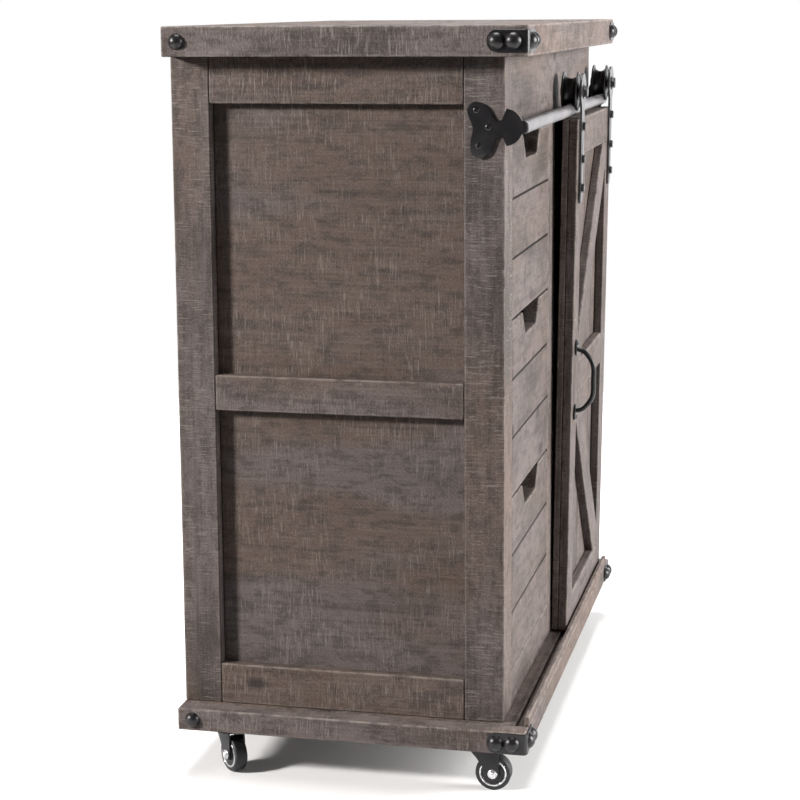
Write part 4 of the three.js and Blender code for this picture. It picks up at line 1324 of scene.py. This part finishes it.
class CART_OT_casters(bpy.types.Operator):
    """Swivel casters: plate, fork with tapered arms, bolt, and a tyre round a ringed hub"""

    bl_idname = "cart.casters"
    bl_label = "Casters"

    def execute(self, context):
        for name in CASTER_PLACES:
            place = caster_place(name)
            self.plate(name)
            self.fork(name, place)
            self.wheel(name, place)
        return {"FINISHED"}

    def plate(self, name):
        low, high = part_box("caster_plate_" + name)
        centre = Vector(((low.x + high.x) / 2, (low.y + high.y) / 2, 0))
        place = Matrix.Translation(centre)
        top, thick = high.z, 3 * MM
        half_x, half_y, round_off = 24, 31, 5
        loop = arc((half_x - round_off, half_y - round_off), round_off, 0, 90, 6)
        loop += arc((round_off - half_x, half_y - round_off), round_off, 90, 180, 6)
        loop += arc((round_off - half_x, round_off - half_y), round_off, 180, 270, 6)
        loop += arc((half_x - round_off, round_off - half_y), round_off, 270, 360, 6)
        outline = [(x * MM, y * MM, top - thick) for x, y in loop]
        work = Work("plate_caster_" + name, "black_paint", "zinc_plate")
        sheet_metal(work, outline, Z * thick, 0.5 * MM, place=place)
        for x in (-17, 17):
            for y in (-24, 24):
                pan_screw(work, (x * MM, y * MM, top - thick), -Z, 3.8 * MM, 1.8 * MM, finish=1, place=place)
        under = top - thick
        race = [(0, under), (13 * MM, under), (13 * MM, under - 1 * MM), (11.6 * MM, under - 1.5 * MM),
                (11.6 * MM, under - 2.6 * MM), (0, under - 2.6 * MM)]
        turned(work, race, (0, 0, 0), Z, segments=40, place=place)
        foot = low.z
        pin = [(0, under), (3.5 * MM, under), (3.5 * MM, foot + 1.5 * MM), (5 * MM, foot + 1.5 * MM),
               (5 * MM, foot + 0.4 * MM), (4.2 * MM, foot), (0, foot)]
        turned(work, pin, (0, 0, 0), Z, segments=24, finish=1, place=place)
        work.finish("cabinet", "black_steel", ["caster_plate_" + name])

    def fork(self, name, place):
        top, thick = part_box("caster_fork_" + name)[1].z, 2 * MM
        hub = Vector(JOINTS["wheel_roll_" + name]["pos_m"])
        trail = (Vector((hub.x, hub.y, 0)) - place.translation).length
        inner, outer = 9.3 * MM, 11.3 * MM
        work = Work("fork_caster_" + name, "black_paint", "zinc_plate")
        cap = [
            (3.9 * MM, top - thick), (17.6 * MM, top - thick), (19 * MM, top - thick),
            (19 * MM, top - 0.6 * MM), (18.4 * MM, top), (13.5 * MM, top), (3.9 * MM, top),
        ]
        turned(work, cap, (0, 0, 0), Z, segments=48, closed=True, place=place)
        loop = [(18, top / MM - 0.3), (-18, top / MM - 0.3), (-18.6, top / MM - 6), (-19.2, top / MM - 14)]
        loop += arc((-trail / MM, hub.z / MM), 8, 168, 325, 18)
        loop += [(3.0, top / MM - 19), (9.5, top / MM - 10), (15.5, top / MM - 3.4)]
        for sign in (-1, 1):
            outline = [(sign * inner, y * MM, z * MM) for y, z in loop]
            sheet_metal(work, outline, X * (sign * (outer - inner)), 0.45 * MM, place=place)
            bolt = Vector((sign * (outer - 0.1 * MM), -trail, hub.z))
            turned(
                work,
                [(0, 0), (6 * MM, 0), (6 * MM, 0.9 * MM), (5.4 * MM, 1.4 * MM), (4.6 * MM, 1.5 * MM),
                 (4.2 * MM, 3.0 * MM), (3.4 * MM, 3.6 * MM), (1.8 * MM, 3.4 * MM), (0, 3.3 * MM)],
                bolt, X * sign, segments=32, finish=1, place=place,
            )
        round_bar(work, 3 * MM, -inner, inner, (0, -trail, hub.z), X, 20, finish=1, place=place)
        long = max(
            abs((place.inverted() @ v.co).y) for v in frame["nodes"]["caster_fork_" + name].data.vertices
        )
        if name.startswith("front"):
            tongue = [(-9, -14), (-9, -long / MM + 4)]
            tongue += arc((-5, -long / MM + 4), 4, 180, 270, 5)
            tongue += arc((5, -long / MM + 4), 4, 270, 360, 5)
            tongue += [(9, -14)]
            outline = [(x * MM, y * MM, top - thick + 0.1 * MM) for x, y in tongue]
            sheet_metal(work, outline, Z * (thick - 0.2 * MM), 0.4 * MM, place=place)
        work.finish("swivel_" + name, "black_steel", ["caster_fork_" + name])

    def wheel(self, name, place):
        hub = Vector(JOINTS["wheel_roll_" + name]["pos_m"])
        centre = place.inverted() @ hub
        half, radius = 8.5 * MM, hub.z
        work = Work("wheel_caster_" + name, "tyre_rubber", "zinc_plate", "hub_plastic")
        tyre = [(0.78 * radius, -half + 0.3 * MM), (0.87 * radius, -half + 0.2 * MM)]
        for i in range(9):
            angle = math.pi / 2 * i / 8
            shoulder = radius - 2.4 * MM + 2.4 * MM * math.sin(angle)
            tyre.append((shoulder, -half + 2.6 * MM - 2.4 * MM * math.cos(angle)))
        crown = [(r, -h) for r, h in tyre[::-1]]
        inner = [(0.76 * radius, half - 1.2 * MM), (0.76 * radius, -half + 1.2 * MM)]
        turned(work, tyre + crown + inner, centre, X, segments=72, closed=True, place=place)
        for sign in (-1, 1):
            ring = [
                (0.66 * radius, half - 1.6 * MM), (0.67 * radius, half - 0.5 * MM),
                (0.69 * radius, half - 0.1 * MM), (0.76 * radius, half - 0.1 * MM),
                (0.78 * radius, half - 0.6 * MM), (0.78 * radius, half - 1.6 * MM),
            ]
            turned(work, ring, centre, X * sign, segments=72, closed=True, finish=1, place=place)
            disc = [
                (3.3 * MM, half - 0.1 * MM), (0.36 * radius, half - 0.1 * MM), (0.39 * radius, half - 2 * MM),
                (0.52 * radius, half - 2.2 * MM), (0.665 * radius, half - 1.4 * MM), (0.665 * radius, 0.0),
                (3.3 * MM, 0.0),
            ]
            turned(work, disc, centre, X * sign, segments=60, closed=True, finish=2, place=place)
        work.finish("wheel_" + name, "caster_tyre", ["caster_wheel_" + name])


# ---------------------------------------------------------------- stage


class CART_OT_stage(bpy.types.Operator):
    """Pale floor and backdrop, soft lights and the camera"""

    bl_idname = "cart.stage"
    bl_label = "Stage"

    def execute(self, context):
        stage = context.scene.cart_stage
        self.floor(context)
        self.backdrop(context)
        self.lights(context, stage)
        self.camera(context, stage)
        return {"FINISHED"}

    def mesh_object(self, context, name, bm, finish):
        mesh = bpy.data.meshes.new(name)
        bm.to_mesh(mesh)
        bm.free()
        made = bpy.data.objects.new(name, mesh)
        context.scene.collection.objects.link(made)
        mesh.materials.append(finish_named(finish))
        return made

    def floor(self, context):
        bm = bmesh.new()
        bmesh.ops.create_circle(bm, cap_ends=True, segments=96, radius=2.2)
        floor = self.mesh_object(context, "floor", bm, "floor_paint")
        floor.visible_diffuse = False

    def backdrop(self, context):
        """A wide white dome that is seen but neither lights the cart nor shows in its gloss."""
        bm = bmesh.new()
        bmesh.ops.create_uvsphere(bm, u_segments=64, v_segments=32, radius=13.5)
        dome = self.mesh_object(context, "backdrop", bm, "backdrop_glow")
        for seen_by in ("visible_diffuse", "visible_glossy", "visible_transmission", "visible_shadow"):
            setattr(dome, seen_by, False)

    def lights(self, context, stage):
        world = bpy.data.worlds.new("pale_room")
        world.use_nodes = True
        sky = world.node_tree.nodes["Background"]
        sky.inputs[0].default_value = (0.97, 0.98, 1.0, 1)
        sky.inputs[1].default_value = stage.ambient
        context.scene.world = world
        middle = (CAD_BOX[0] + CAD_BOX[1]) / 2
        lamps = (
            ("side_light", (-2.3, 3.1, 2.0), 0.55, stage.side_light, (1.0, 0.97, 0.95)),
            ("front_light", (0.15, -3.6, 1.3), 1.8, stage.front_light, (1.0, 0.98, 0.96)),
            ("top_light", (0.75, 0.1, 4.2), 2.0, stage.top_light, (1.0, 1.0, 1.0)),
            ("gloss_card", (3.4, -0.5, 1.1), 2.6, stage.gloss_light, (0.97, 0.98, 1.0)),
        )
        for name, place, size, power, colour in lamps:
            self.softbox(context, name, place, middle, size, power, colour)

    def softbox(self, context, name, place, aim, size, power, colour):
        light = bpy.data.lights.new(name, "AREA")
        light.shape = "SQUARE"
        light.size = size
        light.energy = power
        light.color = colour
        lamp = bpy.data.objects.new(name, light)
        lamp.location = place
        lamp.visible_camera = False
        lamp.rotation_mode = "QUATERNION"
        lamp.rotation_quaternion = (Vector(aim) - Vector(place)).to_track_quat("-Z", "Y")
        context.scene.collection.objects.link(lamp)

    def camera(self, context, stage):
        data = bpy.data.cameras.new("camera")
        data.lens = stage.lens
        data.sensor_width = SENSOR_WIDTH
        data.shift_y = -0.08
        data.clip_end = 60
        camera = bpy.data.objects.new("camera", data)
        level = math.cos(stage.pitch)
        ahead = Vector((math.sin(stage.yaw) * level, math.cos(stage.yaw) * level, math.sin(stage.pitch)))
        camera.location = stage.camera_place
        camera.rotation_mode = "QUATERNION"
        camera.rotation_quaternion = ahead.to_track_quat("-Z", "Y") @ Quaternion((0, 0, 1), stage.roll)
        context.scene.collection.objects.link(camera)
        context.scene.camera = camera
        context.scene.view_settings.view_transform = "Standard"


# ---------------------------------------------------------------- panel and registering


PIECES = (
    CART_OT_slabs,
    CART_OT_carcass,
    CART_OT_drawers,
    CART_OT_door,
    CART_OT_rod,
    CART_OT_straps,
    CART_OT_hangers,
    CART_OT_handle,
    CART_OT_casters,
    CART_OT_stage,
)


class CART_PT_panel(bpy.types.Panel):
    """Lists the steps that build the cart"""

    bl_idname = "CART_PT_panel"
    bl_label = "Barn Door Cart"
    bl_space_type = "VIEW_3D"
    bl_region_type = "UI"
    bl_category = "Cart"

    def draw(self, context):
        for piece in PIECES:
            self.layout.operator(piece.bl_idname)
        for name in ("arris", "worn_band", "dark", "middle", "warm", "pale"):
            self.layout.prop(context.scene.cart_wood, name)
        for name in ("black", "roughness"):
            self.layout.prop(context.scene.cart_steel, name)
        for name in ("side_light", "front_light", "top_light", "ambient"):
            self.layout.prop(context.scene.cart_stage, name)


SETTINGS = (("cart_wood", CartWood), ("cart_steel", CartSteel), ("cart_stage", CartStage))


def register():
    for name, group in SETTINGS:
        bpy.utils.register_class(group)
        setattr(bpy.types.Scene, name, bpy.props.PointerProperty(type=group))
    for made in (*PIECES, CART_PT_panel):
        bpy.utils.register_class(made)


def unregister():
    for made in reversed((*PIECES, CART_PT_panel)):
        bpy.utils.unregister_class(made)
    for name, group in reversed(SETTINGS):
        delattr(bpy.types.Scene, name)
        bpy.utils.unregister_class(group)


def main():
    register()
    bpy.ops.cart.slabs()
    bpy.ops.cart.carcass()
    bpy.ops.cart.drawers()
    bpy.ops.cart.door()
    bpy.ops.cart.rod()
    bpy.ops.cart.straps()
    bpy.ops.cart.hangers()
    bpy.ops.cart.handle()
    bpy.ops.cart.casters()
    bpy.ops.cart.stage()


if __name__ == "__main__":
    main()
